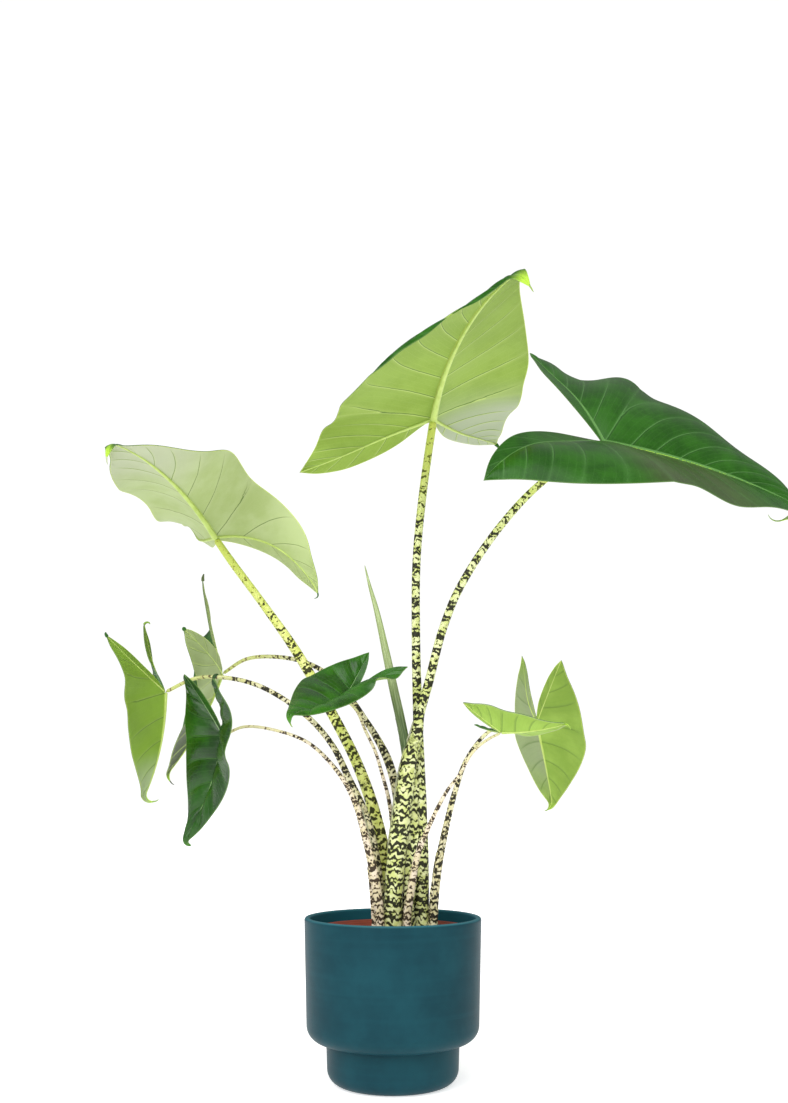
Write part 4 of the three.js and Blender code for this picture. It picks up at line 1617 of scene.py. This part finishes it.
@dataclass
class Stalk:
    """Stalk of a leaf from the soil to its blade, with the dry edges of its sheath.

    It starts at a depth under the soil, passes the knots and ends with the radius top. Its end lies
    end_gap under the blade and is rounded over end_rounding, both as shares of that radius.
    """

    knots: tuple[Knot, ...]
    top: float
    sides: int = 24
    spacing: float = 3.0
    soil: float = 169.0
    depth: float = 36.0
    end_gap: float = 0.6
    end_rounding: float = 0.9
    membranes: tuple[Membrane, ...] = ()

    def build(self, name: str, blade: Blade, skins: list[Material]) -> Piece:
        """The stalk as one piece, its end just under the blade.

        Args:
            name: Its name.
            blade: The blade that it carries.
            skins: Materials of its skin and of its dry edges.

        Returns:
            The new piece.
        """
        axes, at = blade.frame()
        end = at - axes[:, 2] * self.end_gap * self.top
        x, y, _, radius = self.knots[0]
        path = [(x, y, self.soil - self.depth, radius), (x, y, self.soil, radius), *self.knots]
        path.append((*end, self.top))
        knots = np.array(path, float)
        points, size = bar_curve(knots, int(walk_lengths(knots[:, :3])[-1] / self.spacing))
        left = np.linalg.norm(points - points[-1], axis=1)
        size = size * np.sqrt(np.clip(left / (self.top * self.end_rounding), 0, 1)) ** 0.5
        parts = [dressed(tube(points, size, self.sides), skins)]
        for membrane in self.membranes:
            edge = dressed(membrane.build(), skins)
            thickened(edge, membrane.thickness, 0)
            parts.append(edge)
        made = joined(parts, name)
        shaded(made, STALK_CREASE)
        return made


@dataclass
class Leaf:
    """A stalk with its blade and their finishes."""

    number: int
    blade: Blade
    stalk: Stalk
    upper: BladeFinish
    under: BladeFinish
    rib: RibFinish
    skin: StalkFinish

    def build(self) -> None:
        """Builds, dresses and declares both pieces."""
        name = f"leaf_{self.number}"
        faces = [
            self.upper.material(f"{name} upper side"),
            self.under.material(f"{name} underside"),
            self.rib.material(f"{name} ribs"),
        ]
        blade = self.blade.build(f"{name}_sheet", self.stalk.top, faces)
        declare(blade, f"{name}_blade")
        skins = [self.skin.material(f"{name} stalk"), MEMBRANE.material(f"{name} sheath edge")]
        stalk = self.stalk.build(f"{name}_stalk", self.blade, skins)
        declare(stalk, f"{name}_stem")


def declare(piece: Piece, node: str) -> None:
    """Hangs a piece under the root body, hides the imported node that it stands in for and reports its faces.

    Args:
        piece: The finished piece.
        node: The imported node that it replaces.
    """
    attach(piece, "root")
    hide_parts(node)
    log.info("%s: %d faces", piece.name, len(piece.data.polygons))


@dataclass
class Spear:
    """Rolled new leaf in the sheath at the foot of leaf 3's stalk."""

    path: tuple[Knot, ...]
    finish: SpearFinish
    sides: int = 48
    rings: int = 150
    winding: float = 0.8
    seam: float = 0.1
    girth: float = 0.95
    edge: float = 0.13

    def build(self) -> None:
        points, size = bar_curve(np.array(self.path, float), self.rings)
        angle = np.linspace(0, 1, self.sides + 1)[None]
        wind = (angle + np.linspace(0, self.winding, self.rings)[:, None] + self.seam) % 1.0
        swell = self.girth + self.edge * wind**3
        swell[:, -1] = swell[:, 0]
        made = named(tube(points, size, self.sides, swell=swell), "rolled_leaf")
        shaded(made, ROLL_CREASE)
        declare(dressed(made, [self.finish.material("rolled leaf")]), "spear")


# Pots and potting mix

POT_CREASE = 35


def arc(radius: float, height: float, size: float, start: float, end: float, count: int) -> list[Pair]:
    """Points of a circular arc in a profile, angles in degrees."""
    angle = np.radians(np.linspace(start, end, count))
    return [(radius + size * np.cos(a), height + size * np.sin(a)) for a in angle]


@dataclass
class CoverPot:
    """Hollow ceramic bowl on a narrower foot."""

    finish: GlazeFinish
    segments: int = 144
    rim_radius: float = 106
    height: float = 200
    rim_rounding: float = 3
    wall: float = 7
    body_foot_radius: float = 103.6
    body_bottom: float = 51.5
    body_rounding: float = 20
    foot_top_radius: float = 80
    foot_radius: float = 79
    foot_rounding: float = 19
    floor: float = 8
    inside_foot_radius: float = 73
    inside_rounding: float = 13
    floor_rounding: float = 12

    def profile(self) -> list[Pair]:
        """Outer and inner profile, from the underside round the rim to the floor.

        Returns:
            Radius and height of each ring.
        """
        rim = self.rim_rounding
        body = self.body_foot_radius - self.body_rounding
        height = self.body_bottom + self.body_rounding
        top = self.height - rim
        return [
            (40, 0),
            *arc(self.foot_radius - self.foot_rounding, self.foot_rounding, self.foot_rounding, -90, 0, 12),
            (self.foot_top_radius, self.body_bottom - 1.2),
            (self.foot_top_radius + 1.2, self.body_bottom),
            *arc(body, height, self.body_rounding, -90, 0, 14),
            *arc(self.rim_radius - rim, top, rim, 0, 90, 8),
            *arc(self.rim_radius - self.wall + rim, top, rim, 90, 180, 8),
            *arc(body, height, self.inside_rounding, 0, -90, 8),
            (self.inside_foot_radius, self.body_bottom + 6),
            *arc(self.inside_foot_radius - self.floor_rounding, self.floor + self.floor_rounding,
                 self.floor_rounding, 0, -90, 8),
            (30, self.floor),
        ]

    def build(self) -> None:
        made = turned("glazed_pot", self.profile(), self.segments)
        shaded(made, POT_CREASE)
        declare(dressed(made, [self.finish.material("matte teal glaze")]), "cover_pot")


@dataclass
class NurseryPot:
    """Thin plastic grower's pot with a rim band."""

    finish: PlasticFinish
    segments: int = 128
    bottom: float = 8.3
    bottom_radius: float = 62
    shoulder_radius: float = 90
    rim_radius: float = 95
    rim_band: float = 9
    rim_lip: float = 2.5
    top: float = 187
    wall: float = 1.5

    def inside(self, height: float) -> float:
        """Radius of the inner wall.

        Args:
            height: Height above the surface that the cover pot stands on.

        Returns:
            The radius at that height.
        """
        low = self.bottom + self.wall
        share = (height - low) / (self.top - self.rim_band - low)
        return self.bottom_radius + (self.shoulder_radius - self.bottom_radius) * share - self.wall

    def profile(self) -> list[Pair]:
        """Outer and inner profile, from the underside round the rim to the floor.

        Returns:
            Radius and height of each ring.
        """
        shoulder = self.top - self.rim_band
        inner_top = self.rim_radius - self.rim_lip
        return [
            (20, self.bottom),
            (self.bottom_radius - 2, self.bottom),
            (self.bottom_radius - 0.5, self.bottom + 0.6),
            (self.bottom_radius, self.bottom + 2),
            (self.shoulder_radius, shoulder),
            (self.rim_radius - 0.6, shoulder + 0.4),
            (self.rim_radius, shoulder + 1),
            (self.rim_radius, self.top - 1),
            (self.rim_radius - 0.3, self.top - 0.3),
            (self.rim_radius - 1, self.top),
            (inner_top + 0.3, self.top),
            (inner_top, self.top - 0.3),
            (self.inside(shoulder) + 1, shoulder + 2),
            (self.inside(shoulder), shoulder),
            (self.inside(self.bottom + self.wall), self.bottom + self.wall),
            (15, self.bottom + self.wall),
        ]

    def build(self) -> None:
        made = turned("grower_pot", self.profile(), self.segments)
        shaded(made, POT_CREASE)
        declare(dressed(made, [self.finish.material("orange-brown plastic")]), "nursery_pot")


@dataclass
class PottingMix:
    """Potting mix that fills the nursery pot, with chips of bark on top."""

    finish: MixFinish
    pot: NurseryPot
    edge: float = 169
    crown: float = 173
    dome: float = 0.5
    flat_radius: float = 54
    middle_radius: float = 3
    rings: int = 24
    segments: int = 120
    rough_radius: float = 78
    crumbs: Pair = (-1.1, 0.9)
    chips: int = 170
    chip_reach: float = 74
    chip_size: Pair = (1.6, 4.2)
    chip_width: Pair = (0.5, 0.9)
    chip_height: Pair = (0.25, 0.5)
    chip_dents: Pair = (-0.14, 0.14)
    seed: int = 7

    def profile(self) -> list[Pair]:
        """Profile from the underside to the crown, with many rings on top.

        Returns:
            Radius and height of each ring.
        """
        low = self.pot.bottom + self.pot.wall + 0.3
        rim = self.pot.inside(self.edge)
        top = [
            (radius, self.crown + self.dome - self.dome * radius / self.flat_radius)
            for radius in np.linspace(self.flat_radius, self.middle_radius, self.rings)
        ]
        return [
            (20, low),
            (self.pot.inside(low) - 0.4, low),
            (rim - 0.4, self.edge),
            (rim - 6, self.edge + 1.5),
            (rim - 12, self.edge + 2.2),
            (rim - 20, self.edge + 3),
            *top,
        ]

    def build(self) -> None:
        rng = np.random.default_rng(self.seed)
        bed = turned("mix_bed", self.profile(), self.segments)
        places = self.places(bed).reshape(-1, 3)
        radius = np.hypot(places[:, 0], places[:, 1])
        on_top = (places[:, 2] > self.edge * MM) & (radius < self.rough_radius * MM)
        places[on_top, 2] += rng.uniform(*self.crumbs, on_top.sum()) * MM
        bed.data.vertices.foreach_set("co", places.ravel())
        pieces = [bed, *(self.chip(rng) for _ in range(self.chips))]
        made = dressed(joined(pieces, "potting_mix", merge=0.0005), [self.finish.material("potting mix")])
        declare(made, "soil")

    @staticmethod
    def places(piece: Piece) -> np.ndarray:
        """Places of all vertices of a piece in one row of numbers.

        Args:
            piece: The piece.

        Returns:
            X, Y and Z of each vertex in turn, in metres.
        """
        places = np.empty(len(piece.data.vertices) * 3)
        piece.data.vertices.foreach_get("co", places)
        return places

    def chip(self, rng: np.random.Generator) -> Piece:
        """One chip of bark lying on the mix.

        Args:
            rng: Source of its place, turn and size.

        Returns:
            The new piece.
        """
        deselect()
        angle, far = rng.uniform(0, 2 * np.pi), self.chip_reach * np.sqrt(rng.uniform(0.0, 1.0))
        size = rng.uniform(*self.chip_size)
        bpy.ops.mesh.primitive_ico_sphere_add(
            subdivisions=2,
            radius=size * MM,
            location=(far * np.cos(angle) * MM, far * np.sin(angle) * MM, (self.crown + 0.3) * MM),
            rotation=tuple(rng.uniform(0, np.pi, 3)),
            scale=(1.0, rng.uniform(*self.chip_width), rng.uniform(*self.chip_height)),
        )
        chip = bpy.context.object
        bpy.ops.object.transform_apply(location=True, rotation=True, scale=True)
        places = self.places(chip)
        places += rng.uniform(*self.chip_dents, len(places)) * size * MM
        chip.data.vertices.foreach_set("co", places)
        return chip


# Studio


@dataclass
class Studio:
    """White floor and surround, soft lamps and the camera.

    Glow is how much the surround shines from the sides, from behind and from above beside its ambient
    light. The lamps are given by name, place, size and power. Places are in metres.
    """

    distance: float = 1500
    eye: float = 360
    lens: float = 40.8
    sensor: float = 36
    shift: Pair = (0.001, 0.21)
    ambient: float = 0.2
    side_glow: float = 0.28
    back_glow: float = 0.05
    top_glow: float = 0.2
    seen_sky: float = 1.05
    floor_size: float = 30
    floor_glow: Pair = (0.42, 0.6)
    sun: float = 2.35
    sun_angle: float = 60
    sun_place: Triple = (-0.45, -1.4, 2.0)
    sun_target: Triple = (0, 0, 0.3)
    lamp_target: Triple = (0, 0, 0.42)
    lamps: tuple[tuple[str, Triple, float, float], ...] = (
        ("lamp_left", (-1.2, -1.7, 1.0), 0.7, 7.0),
        ("lamp_right", (1.4, -1.5, 0.9), 0.6, 5.0),
    )

    def build(self) -> None:
        """Builds floor, surround, lamps and camera."""
        self.build_floor()
        self.build_surround()
        self.build_lamps()
        self.build_camera()

    def build_floor(self) -> None:
        """Large pale floor."""
        deselect()
        bpy.ops.mesh.primitive_plane_add(size=self.floor_size, location=(0, 0, -0.2 * MM))
        floor = bpy.context.object
        bpy.ops.object.transform_apply(location=True)
        floor.name = "studio_floor"
        g = Look("studio floor")
        seen = g.add("ShaderNodeLightPath").outputs["Is Camera Ray"]
        dressed(floor, [g.wear({
            "Base Color": g.mix(g.noise(g.place(), 3.0, 2.0), 0xF7F7F7, 0xF9F9F9),
            "Roughness": 0.85,
            "Emission Color": (1.0, 1.0, 1.0, 1.0),
            "Emission Strength": g.step(seen, 0.0, 1.0, *self.floor_glow),
        })])

    def build_surround(self) -> None:
        """Even white light from all round."""
        scene = bpy.context.scene
        world = bpy.data.worlds.new("studio")
        world.use_nodes = True
        world.node_tree.nodes.clear()
        g = Graph(world.node_tree)
        seen = g.add("ShaderNodeLightPath").outputs["Is Camera Ray"]
        x, y, z = g.parts(g.add("ShaderNodeTexCoord").outputs["Generated"])
        sides = g.step(g.math("ABSOLUTE", x), 0.45, 0.8, 0.0, self.side_glow)
        back = g.step(y, 0.0, 0.8, 0.0, self.back_glow)
        top = g.step(z, 0.4, 0.9, 0.0, self.top_glow)
        glow = g.plus(g.plus(sides, back), g.plus(top, self.ambient))
        strength = g.plus(g.times(glow, g.minus(1.0, seen)), g.times(seen, self.seen_sky))
        sky = g.add("ShaderNodeBackground", {"Strength": strength, "Color": (1.0, 1.0, 1.0, 1.0)})
        g.add("ShaderNodeOutputWorld", {0: sky.outputs[0]})
        scene.world = world
        scene.view_settings.view_transform = "Standard"

    def build_lamps(self) -> None:
        """Large soft lamps from above, left and right, all in front."""
        sun = bpy.data.lights.new("key", "SUN")
        sun.energy = self.sun
        sun.angle = np.radians(self.sun_angle)
        self.stand(sun, self.sun_place, self.sun_target)
        for name, place, size, power in self.lamps:
            lamp = bpy.data.lights.new(name, "AREA")
            lamp.size = size
            lamp.energy = power
            self.stand(lamp, place, self.lamp_target)

    def build_camera(self) -> None:
        """Camera at the photo's viewing angle."""
        data = bpy.data.cameras.new("camera")
        data.lens = self.lens
        data.sensor_width = self.sensor
        data.shift_x, data.shift_y = self.shift
        height = self.eye * MM
        bpy.context.scene.camera = self.stand(data, (0, -self.distance * MM, height), (0, 0, height))

    @staticmethod
    def stand(data: bpy.types.Light | bpy.types.Camera, place: Triple, target: Triple) -> Piece:
        """Puts up a lamp or the camera.

        Args:
            data: The lamp or camera.
            place: Where it stands.
            target: What it points at.

        Returns:
            Its object.
        """
        item = bpy.data.objects.new(data.name, data)
        bpy.context.scene.collection.objects.link(item)
        item.location = place
        item.rotation_euler = (Vector(target) - Vector(place)).to_track_quat("-Z", "Y").to_euler()
        return item


# The plant

UPPER = BladeFinish(
    green=0x2B6414, deep=0x1E4E0D, rib=0x61914C, vein=0x5C8E4C, shade=0x12330C, margin=0x5E8040,
    tip=0xB4DC48, roughness=0.30, specular=0.12, vein_width=0.7, rib_width=1.5, relief=0.6,
)
# Rib: greyish pale, the ribs' own paler green with a painted highlight along them.
UPPER_SEVENTH = replace(
    UPPER, green=0x2C6A0C, deep=0x164406, rib=0x7C9C6A, vein=0x50863A, specular=0.35, roughness=0.26,
    vein_width=0.5, rib_width=0.9, tip=0x4C8A20, relief=1.0,
)
UPPER_THIRD = replace(
    UPPER, green=0x2A6013, deep=0x1D4B0D, specular=0.16, tint_and_painted_light=0x4C5230, tinge_zone=(0.22, 0.5),
    tinge_strength=0.55, vein_reach=(0.85, 0.3), vein_width=0.8,
)
UPPER_GLOSSY = replace(
    UPPER, green=0x1F500A, deep=0x113606, rib=0x7E9E66, vein=0x44762E, specular=0.36, roughness=0.22,
    vein_strength=0.5, vein_width=0.5, rib_width=1.0, tip=0x4C8A20, relief=1.2,
)
UNDER_LIME = BladeFinish(
    green=0x90B04E, deep=0x84A442, rib=0xBAC864, vein=0xBCD078, shade=0x55742E, margin=0xCBDC74,
    tip=0x9CC040, roughness=0.5, specular=0.2, vein_strength=0.75, vein_width=0.75,
)
# Tinge: painted sheen, a grey reflection painted over the lobe of the left half up to the joint.
UNDER_FIRST = replace(
    UNDER_LIME, green=0x92AF4A, deep=0x88A540, tint_and_painted_light=0xAAB29E, tinge_zone=(3.5, 0.66), tinge_strength=0.8,
)
UNDER_PALE = replace(
    UNDER_LIME, green=0xB4C48A, deep=0xA8BA78, rib=0xC4D078, vein=0xBECA94, shade=0x66803E, tint_and_painted_light=0xB8BCA8,
    tinge_zone=(0.8, 0.55), tinge_strength=0.6, tinge_both=True,
)
UNDER_GREEN = replace(
    UNDER_LIME, green=0x86AC3A, deep=0x7CA034, rib=0xA8C05C, vein=0x98B458, shade=0x4C6C30,
    tint_and_painted_light=0xA8B890, tinge_zone=(0.95, 0.5), tinge_strength=0.8, tinge_both=True, tip=0xB2C092,
    vein_strength=0.5, vein_width=0.5,
)
# Tinge: painted shade, the front of both halves from near the joint to the tip painted dark grey-green,
# standing in for the upper side of the twisted blade in shade.
UNDER_PAINTED_SHADE = replace(
    UNDER_LIME, green=0xA2B47A, deep=0x96A86E, tint_and_painted_light=0x4E5A44, tinge_zone=(0.75, 0.6), tinge_strength=1.0,
    tinge_both=True,
)
# Tinge: painted sheen, grey painted over most of the left half and its lobe.
UNDER_EIGHT = replace(
    UNDER_LIME, green=0x94B44E, deep=0x84A442, vein=0x6E8C40, shade=0x5A7832, tint_and_painted_light=0xA2AC90,
    tinge_zone=(4.0, 0.95), tinge_strength=0.6, vein_strength=0.45, vein_width=0.4,
)
# Margin: pale grey, a painted highlight along the curled edge.
UNDER_NINE = replace(
    UNDER_LIME, green=0xA4C65A, deep=0x98BA50, vein=0x7C9A44, shade=0x66843A, margin=0xB4BC98,
    vein_strength=0.5, vein_width=0.45,
)
RIB_GREEN = RibFinish(base=0x86AC58, dark=0x76A04A)
RIB_LIME = RibFinish(base=0xC4DA78, dark=0xB4CC60)
MEMBRANE = MembraneFinish(base=0x8E9272, streak=0xB4B494)
# In the stalk finishes below, light is the colour of paler patches that are partly painted highlight.
ZEBRA_LIME = StalkFinish(
    base=0xCCD484, light=0xE2E6B0, top=0xC4D060, halo=0x868E36, size=0.76, low_size=0.88,
)
ZEBRA_YELLOW = StalkFinish(
    base=0xD6DE74, light=0xE8EC96, top=0xC6D460, halo=0xA8A840, mark=0x2A2C08, density=0.47,
    size=0.72, low_size=1.0, thin_out=(0.6, 1.0),
)
ZEBRA_CREAM = StalkFinish(
    base=0xD2CC98, light=0xE0DAB8, top=0xC2CA78, halo=0x9A8A5A, density=0.53, size=0.66, low_size=0.82,
)
ZEBRA_PINK = StalkFinish(
    base=0xDED2A8, light=0xE8DAC4, top=0xD0CC98, halo=0xB09C76, mark=0x33261A, density=0.47,
    size=0.56, low_size=0.8,
)

LEAVES = [
    Leaf(
        number=1,
        blade=Blade(
            at=(49, 40, 809), heading=-84, climb=25, roll=-12,
            length=328, lobe=190, width=0.36, shoulder=0.20, web=0.02,
            droop=30, curl=58, sweep=-13, fold=10, fold_tip=6, twist=-26,
            fullness=(0.72, 0.89), cup=(-35, -29), spread=(58, 44), lift=(-12, 21),
            bend=(16, -11), turn=(55, 0), waves=(4, 2.5, 0.4), detail=LARGE,
            margin_roll=(-150, 0), roll_span=(0.34, 0.93), lean=(0.24, 0.2), laterals=(9, 6),
            hooks=((0, 0), (9, 150)), hook_radius=(1, 2.6),
        ),
        stalk=Stalk(
            knots=(
                (34, -6, 205, 9.6), (34, -4, 280, 8.6), (32, -1, 352, 7.8), (30, 5, 436, 5.8),
                (28, 16, 533, 5.2), (29, 28, 633, 5), (36, 36, 709, 4.9), (43, 40, 762, 4.8),
            ),
            top=4.8,
        ),
        upper=UPPER, under=UNDER_FIRST, rib=RIB_LIME, skin=ZEBRA_LIME,
    ),
    Leaf(
        number=2,
        blade=Blade(
            at=(-221, 60, 667), heading=-108, climb=27, roll=-9,
            length=300, lobe=187, width=0.25, shoulder=0.35, web=0.04,
            droop=37, curl=54, sweep=1, fold=35, fold_tip=-33, twist=2,
            fullness=(0.66, 0.59), cup=(-66, 23), spread=(54, 53), lift=(27, -52),
            bend=(-8, -56), turn=(6, 14), waves=(4, 2.5, 1.2), detail=LARGE,
            hooks=((0, 0), (20, 60)), laterals=(7, 5),
        ),
        stalk=Stalk(
            knots=(
                (-5, 8, 201, 8.1), (-10, 10, 267, 8.1), (-22, 13, 323, 7.5), (-44, 20, 385, 6.7),
                (-75, 30, 446, 6.4), (-119, 42, 522, 6), (-161, 52, 582, 5), (-201, 57, 636, 4.8),
            ),
            top=4.2,
        ),
        upper=UPPER, under=UNDER_PALE, rib=RIB_LIME, skin=ZEBRA_YELLOW,
    ),
    Leaf(
        number=3,
        blade=Blade(
            at=(247, -40, 758), heading=7, climb=-8, roll=-36,
            length=279, lobe=223, width=0.42, shoulder=0.33, web=0.02,
            droop=18, curl=120, sweep=-4, fold=20, fold_tip=16, twist=-15,
            fullness=(2.16, 1.24), cup=(-51, -47), spread=(42, 70), lift=(36, -20),
            bend=(-85, 5), turn=(-12, -10), waves=(4, 2.5, 2.6), detail=LARGE,
            front_cup=(-6, -47), fold_side=(-12, 0), drip=(22, 100), laterals=(9, 6), lean=(0.1, 0.34),
        ),
        stalk=Stalk(
            knots=(
                (0, -20, 204, 11), (1, -20, 233, 11), (6, -19, 287, 11.6), (13, -18, 340, 11),
                (20, -16, 391, 9.4), (28, -14, 417, 7.6), (32, -12, 442, 5.7), (43, -8, 481, 5.4),
                (59, -3, 542, 5), (80, 0, 594, 4.8), (128, 0, 667, 4.6), (181, -5, 722, 4.2),
            ),
            top=3.6,
            membranes=(
                Membrane(
                    path=((24.5, -16, 436), (22, -17, 426), (12.2, -18, 396), (4.2, -19, 363),
                          (-0.8, -20, 325), (-4.2, -21, 300), (-7, -22, 280)),
                    width=1.8,
                ),
                Membrane(
                    path=((25, -12, 378), (24, -14, 334), (22, -16, 287), (20.5, -17, 246), (19.5, -18, 206),
                          (18.5, -18, 160)),
                    width=13.0, lean=10, marked=True,
                ),
            ),
        ),
        upper=UPPER_THIRD, under=UNDER_GREEN, rib=RIB_GREEN, skin=ZEBRA_LIME,
    ),
    Leaf(
        number=4,
        blade=Blade(
            at=(-273, -5, 469), heading=-92, climb=-97, roll=-86,
            length=142, lobe=116, width=0.41, shoulder=0.29, web=0.03,
            droop=-27, curl=107, sweep=3, fold=38, fold_tip=30, twist=-16,
            fullness=(1.46, 0.78), cup=(-15, -12), spread=(44, 54), lift=(-2, 4),
            bend=(-16, -12), turn=(-30, -19), waves=(3, 1.5, 0.8), detail=MEDIUM,
            hooks=((12, 200), (8, 40)), hook_radius=(1.5, 2), turn_reach=0.35,
            hook_slots=(Face.UNDER, Face.UPPER, Face.UNDER),
        ),
        stalk=Stalk(
            knots=(
                (-16, -5, 220, 6.6), (-23, -5, 280, 6), (-34, -4, 324, 5.1), (-53, -2, 366, 4.2),
                (-73, -4, 406, 3.6), (-104, -5, 441, 3.3), (-157, -5, 475, 2.8), (-200, -6, 486, 2.5),
                (-237, -5, 485, 2.2),
            ),
            top=2.1,
            membranes=(
                Membrane(
                    path=((-38.5, -8, 336), (-31, -10, 310), (-25, -11, 285), (-19, -12, 250)),
                    width=1.6,
                ),
            ),
        ),
        upper=UPPER, under=UNDER_GREEN, rib=RIB_LIME, skin=ZEBRA_CREAM,
    ),
    Leaf(
        number=5,
        blade=Blade(
            at=(-217, 85, 499), heading=131, climb=-59, roll=65,
            length=171, lobe=133, width=0.38, shoulder=0.18, web=0.05,
            droop=-21, curl=52, sweep=2, fold=28, fold_tip=32, twist=-20,
            fullness=(1.46, 0.91), cup=(-15, -10), spread=(51, 55), lift=(2, 4),
            bend=(-8, 19), turn=(-36, 5), waves=(3, 1.5, 2.2), detail=MEDIUM,
            hooks=((11, 30), (6, 150)), hook_radius=(2.2, 2.6), turn_reach=0.3,
            hook_slots=(Face.UNDER, Face.UPPER, Face.UNDER),
        ),
        stalk=Stalk(
            knots=(
                (12, 12, 218, 6), (10, 13, 279, 5.5), (5, 16, 345, 5.5), (-7, 22, 390, 5.2),
                (-34, 36, 438, 3.7), (-70, 52, 486, 3.3), (-104, 66, 509, 2.9), (-144, 76, 519, 2.6),
                (-186, 84, 517, 2.3),
            ),
            top=2.1,
        ),
        upper=UPPER, under=UNDER_PAINTED_SHADE, rib=RIB_LIME, skin=ZEBRA_CREAM,
    ),
    Leaf(
        number=6,
        blade=Blade(
            at=(-196, -60, 415), heading=-42, climb=-101, roll=-106,
            length=140, lobe=89, width=0.41, shoulder=0.22, web=0.06,
            droop=-26, curl=90, sweep=9, fold=24, fold_tip=-1, twist=14,
            fullness=(1.04, 1.51), cup=(-16, -26), spread=(46, 37), lift=(5, 22),
            bend=(3, -7), turn=(-4, -24), waves=(3, 1.5, 1.6), detail=MEDIUM,
            drip=(0, 0), quilt=4.0, hooks=((0, 0), (8, 130)), hook_radius=(1, 2.2),
        ),
        stalk=Stalk(
            knots=(
                (-16, -27, 205, 5.9), (-22, -28, 252, 5.5), (-32, -30, 296, 4.7), (-45, -34, 339, 3.5),
                (-62, -38, 370, 2.6), (-97, -44, 406, 2), (-135, -50, 421, 1.8), (-172, -56, 425, 1.7),
            ),
            top=1.6,
            membranes=(
                Membrane(
                    path=((-28.5, -27, 272), (-25, -27, 243), (-23, -27, 218), (-21.5, -27, 195),
                          (-21, -27, 160)),
                    width=7.0, marked=True,
                ),
            ),
        ),
        upper=UPPER_GLOSSY, under=UNDER_GREEN, rib=RIB_GREEN, skin=ZEBRA_PINK,
    ),
    Leaf(
        number=7,
        blade=Blade(
            at=(-56, -50, 459), heading=-123, climb=-17, roll=3,
            length=124, lobe=82, width=0.42, shoulder=0.13, web=0.06,
            droop=-11, curl=104, sweep=-6, fold=33, fold_tip=4, twist=17,
            fullness=(1.62, 1.25), cup=(-23, -49), spread=(20, 54), lift=(19, 17),
            bend=(16, -40), turn=(-4, -38), waves=(3, 1, 0.5), detail=MEDIUM,
            coarse=(10, 8), quilt=1.8,
        ),
        stalk=Stalk(
            knots=(
                (2, 22, 218, 3.5), (0, 16, 291, 2.8), (-4, 6, 335, 2.4), (-14, -12, 375, 2),
                (-21, -24, 398, 1.9), (-32, -34, 421, 1.8), (-42, -44, 444, 1.7),
            ),
            top=1.6,
        ),
        upper=UPPER_SEVENTH, under=UNDER_GREEN, rib=RIB_GREEN, skin=ZEBRA_PINK,
    ),
    Leaf(
        number=8,
        blade=Blade(
            at=(173, 0, 433), heading=58, climb=-63, roll=-20,
            length=125, lobe=89, width=0.45, shoulder=0.28, web=0.06,
            droop=-6, curl=74, sweep=-11, fold=21, fold_tip=8, twist=15,
            fullness=(1.40, 1.29), cup=(-17, -21), spread=(31, 39), lift=(1, 26),
            bend=(2, -10), turn=(-1, -3), waves=(3, 1.5, 0.2), detail=MEDIUM,
        ),
        stalk=Stalk(
            knots=(
                (48, -14, 204, 5.7), (53, -14, 255, 5), (62, -12, 302, 4.2), (75, -10, 353, 3.2),
                (90, -8, 392, 2.6), (117, -4, 423, 2.1), (152, 0, 433, 1.9),
            ),
            top=1.8,
            membranes=(
                Membrane(
                    path=((66, -16, 329), (60, -18, 300), (53.5, -19, 269), (47, -20, 240),
                          (43.5, -20, 216)),
                    width=3.4, marked=True,
                ),
                Membrane(
                    path=((57, -14, 292), (50.5, -14, 256), (46.8, -14, 222), (44.8, -14, 195),
                          (44.5, -14, 160)),
                    width=6.0, marked=True,
                ),
            ),
        ),
        upper=UPPER, under=UNDER_EIGHT, rib=RIB_LIME, skin=ZEBRA_CREAM,
    ),
    Leaf(
        number=9,
        blade=Blade(
            at=(123, -80, 418), heading=-26, climb=-3, roll=24,
            length=82, lobe=55, width=0.38, shoulder=0.21, web=0.06,
            droop=-15, curl=33, sweep=10, fold=25, fold_tip=15, twist=8,
            fullness=(1.45, 1.48), cup=(-16, -16), spread=(44, 33), lift=(5, 7),
            bend=(1, 6), turn=(3, 0), waves=(3, 0.8, 1.1), detail=SMALL, coarse=(10, 8),
        ),
        stalk=Stalk(
            knots=(
                (17, -26, 205, 5.1), (21, -28, 232, 4.7), (29, -33, 276, 3.8), (41, -40, 307, 2.9),
                (62, -54, 350, 2), (76, -62, 369, 1.8), (91, -70, 395, 1.7), (107, -76, 409, 1.6),
            ),
            top=1.5,
        ),
        upper=UPPER, under=UNDER_NINE, rib=RIB_LIME, skin=ZEBRA_PINK,
    ),
]

SPEAR_PATH = (
    (1, -17, 180, 3.6), (1, -17, 233, 3.8), (6, -16, 287, 4), (13, -15, 340, 4.2),
    (17, -14, 375, 4.6), (14, -13, 410, 5.6), (8, -13, 440, 5.8), (1, -13, 471, 5.6),
    (-8, -10, 514, 4.8), (-20, -5, 568, 3.2), (-28, -2, 597, 1.9), (-34, 0, 622, 0.5),
)


def main() -> None:
    """Builds the plant, its pots and the studio in order."""
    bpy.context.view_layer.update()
    # The glaze's rim colour is a painted highlight along the rim; its inside colour is painted light on the
    # inner wall.
    CoverPot(GlazeFinish(base=0x133A44, light=0x194751, rim=0x3E7884, inside=0x1D5866)).build()
    # The plastic's dark colour is painted shade in its fine rings.
    nursery = NurseryPot(PlasticFinish(base=0x8C3826, light=0xA04634, dark=0x5C2018))
    nursery.build()
    PottingMix(MixFinish(dark=0x1E1712, light=0x5A4634), nursery).build()
    for leaf in LEAVES:
        leaf.build()
    Spear(SPEAR_PATH, SpearFinish(base=0x93A467, light=0xB4C490, low=0x3C5426)).build()
    Studio().build()
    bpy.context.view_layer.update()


if __name__ == "__main__":
    main()
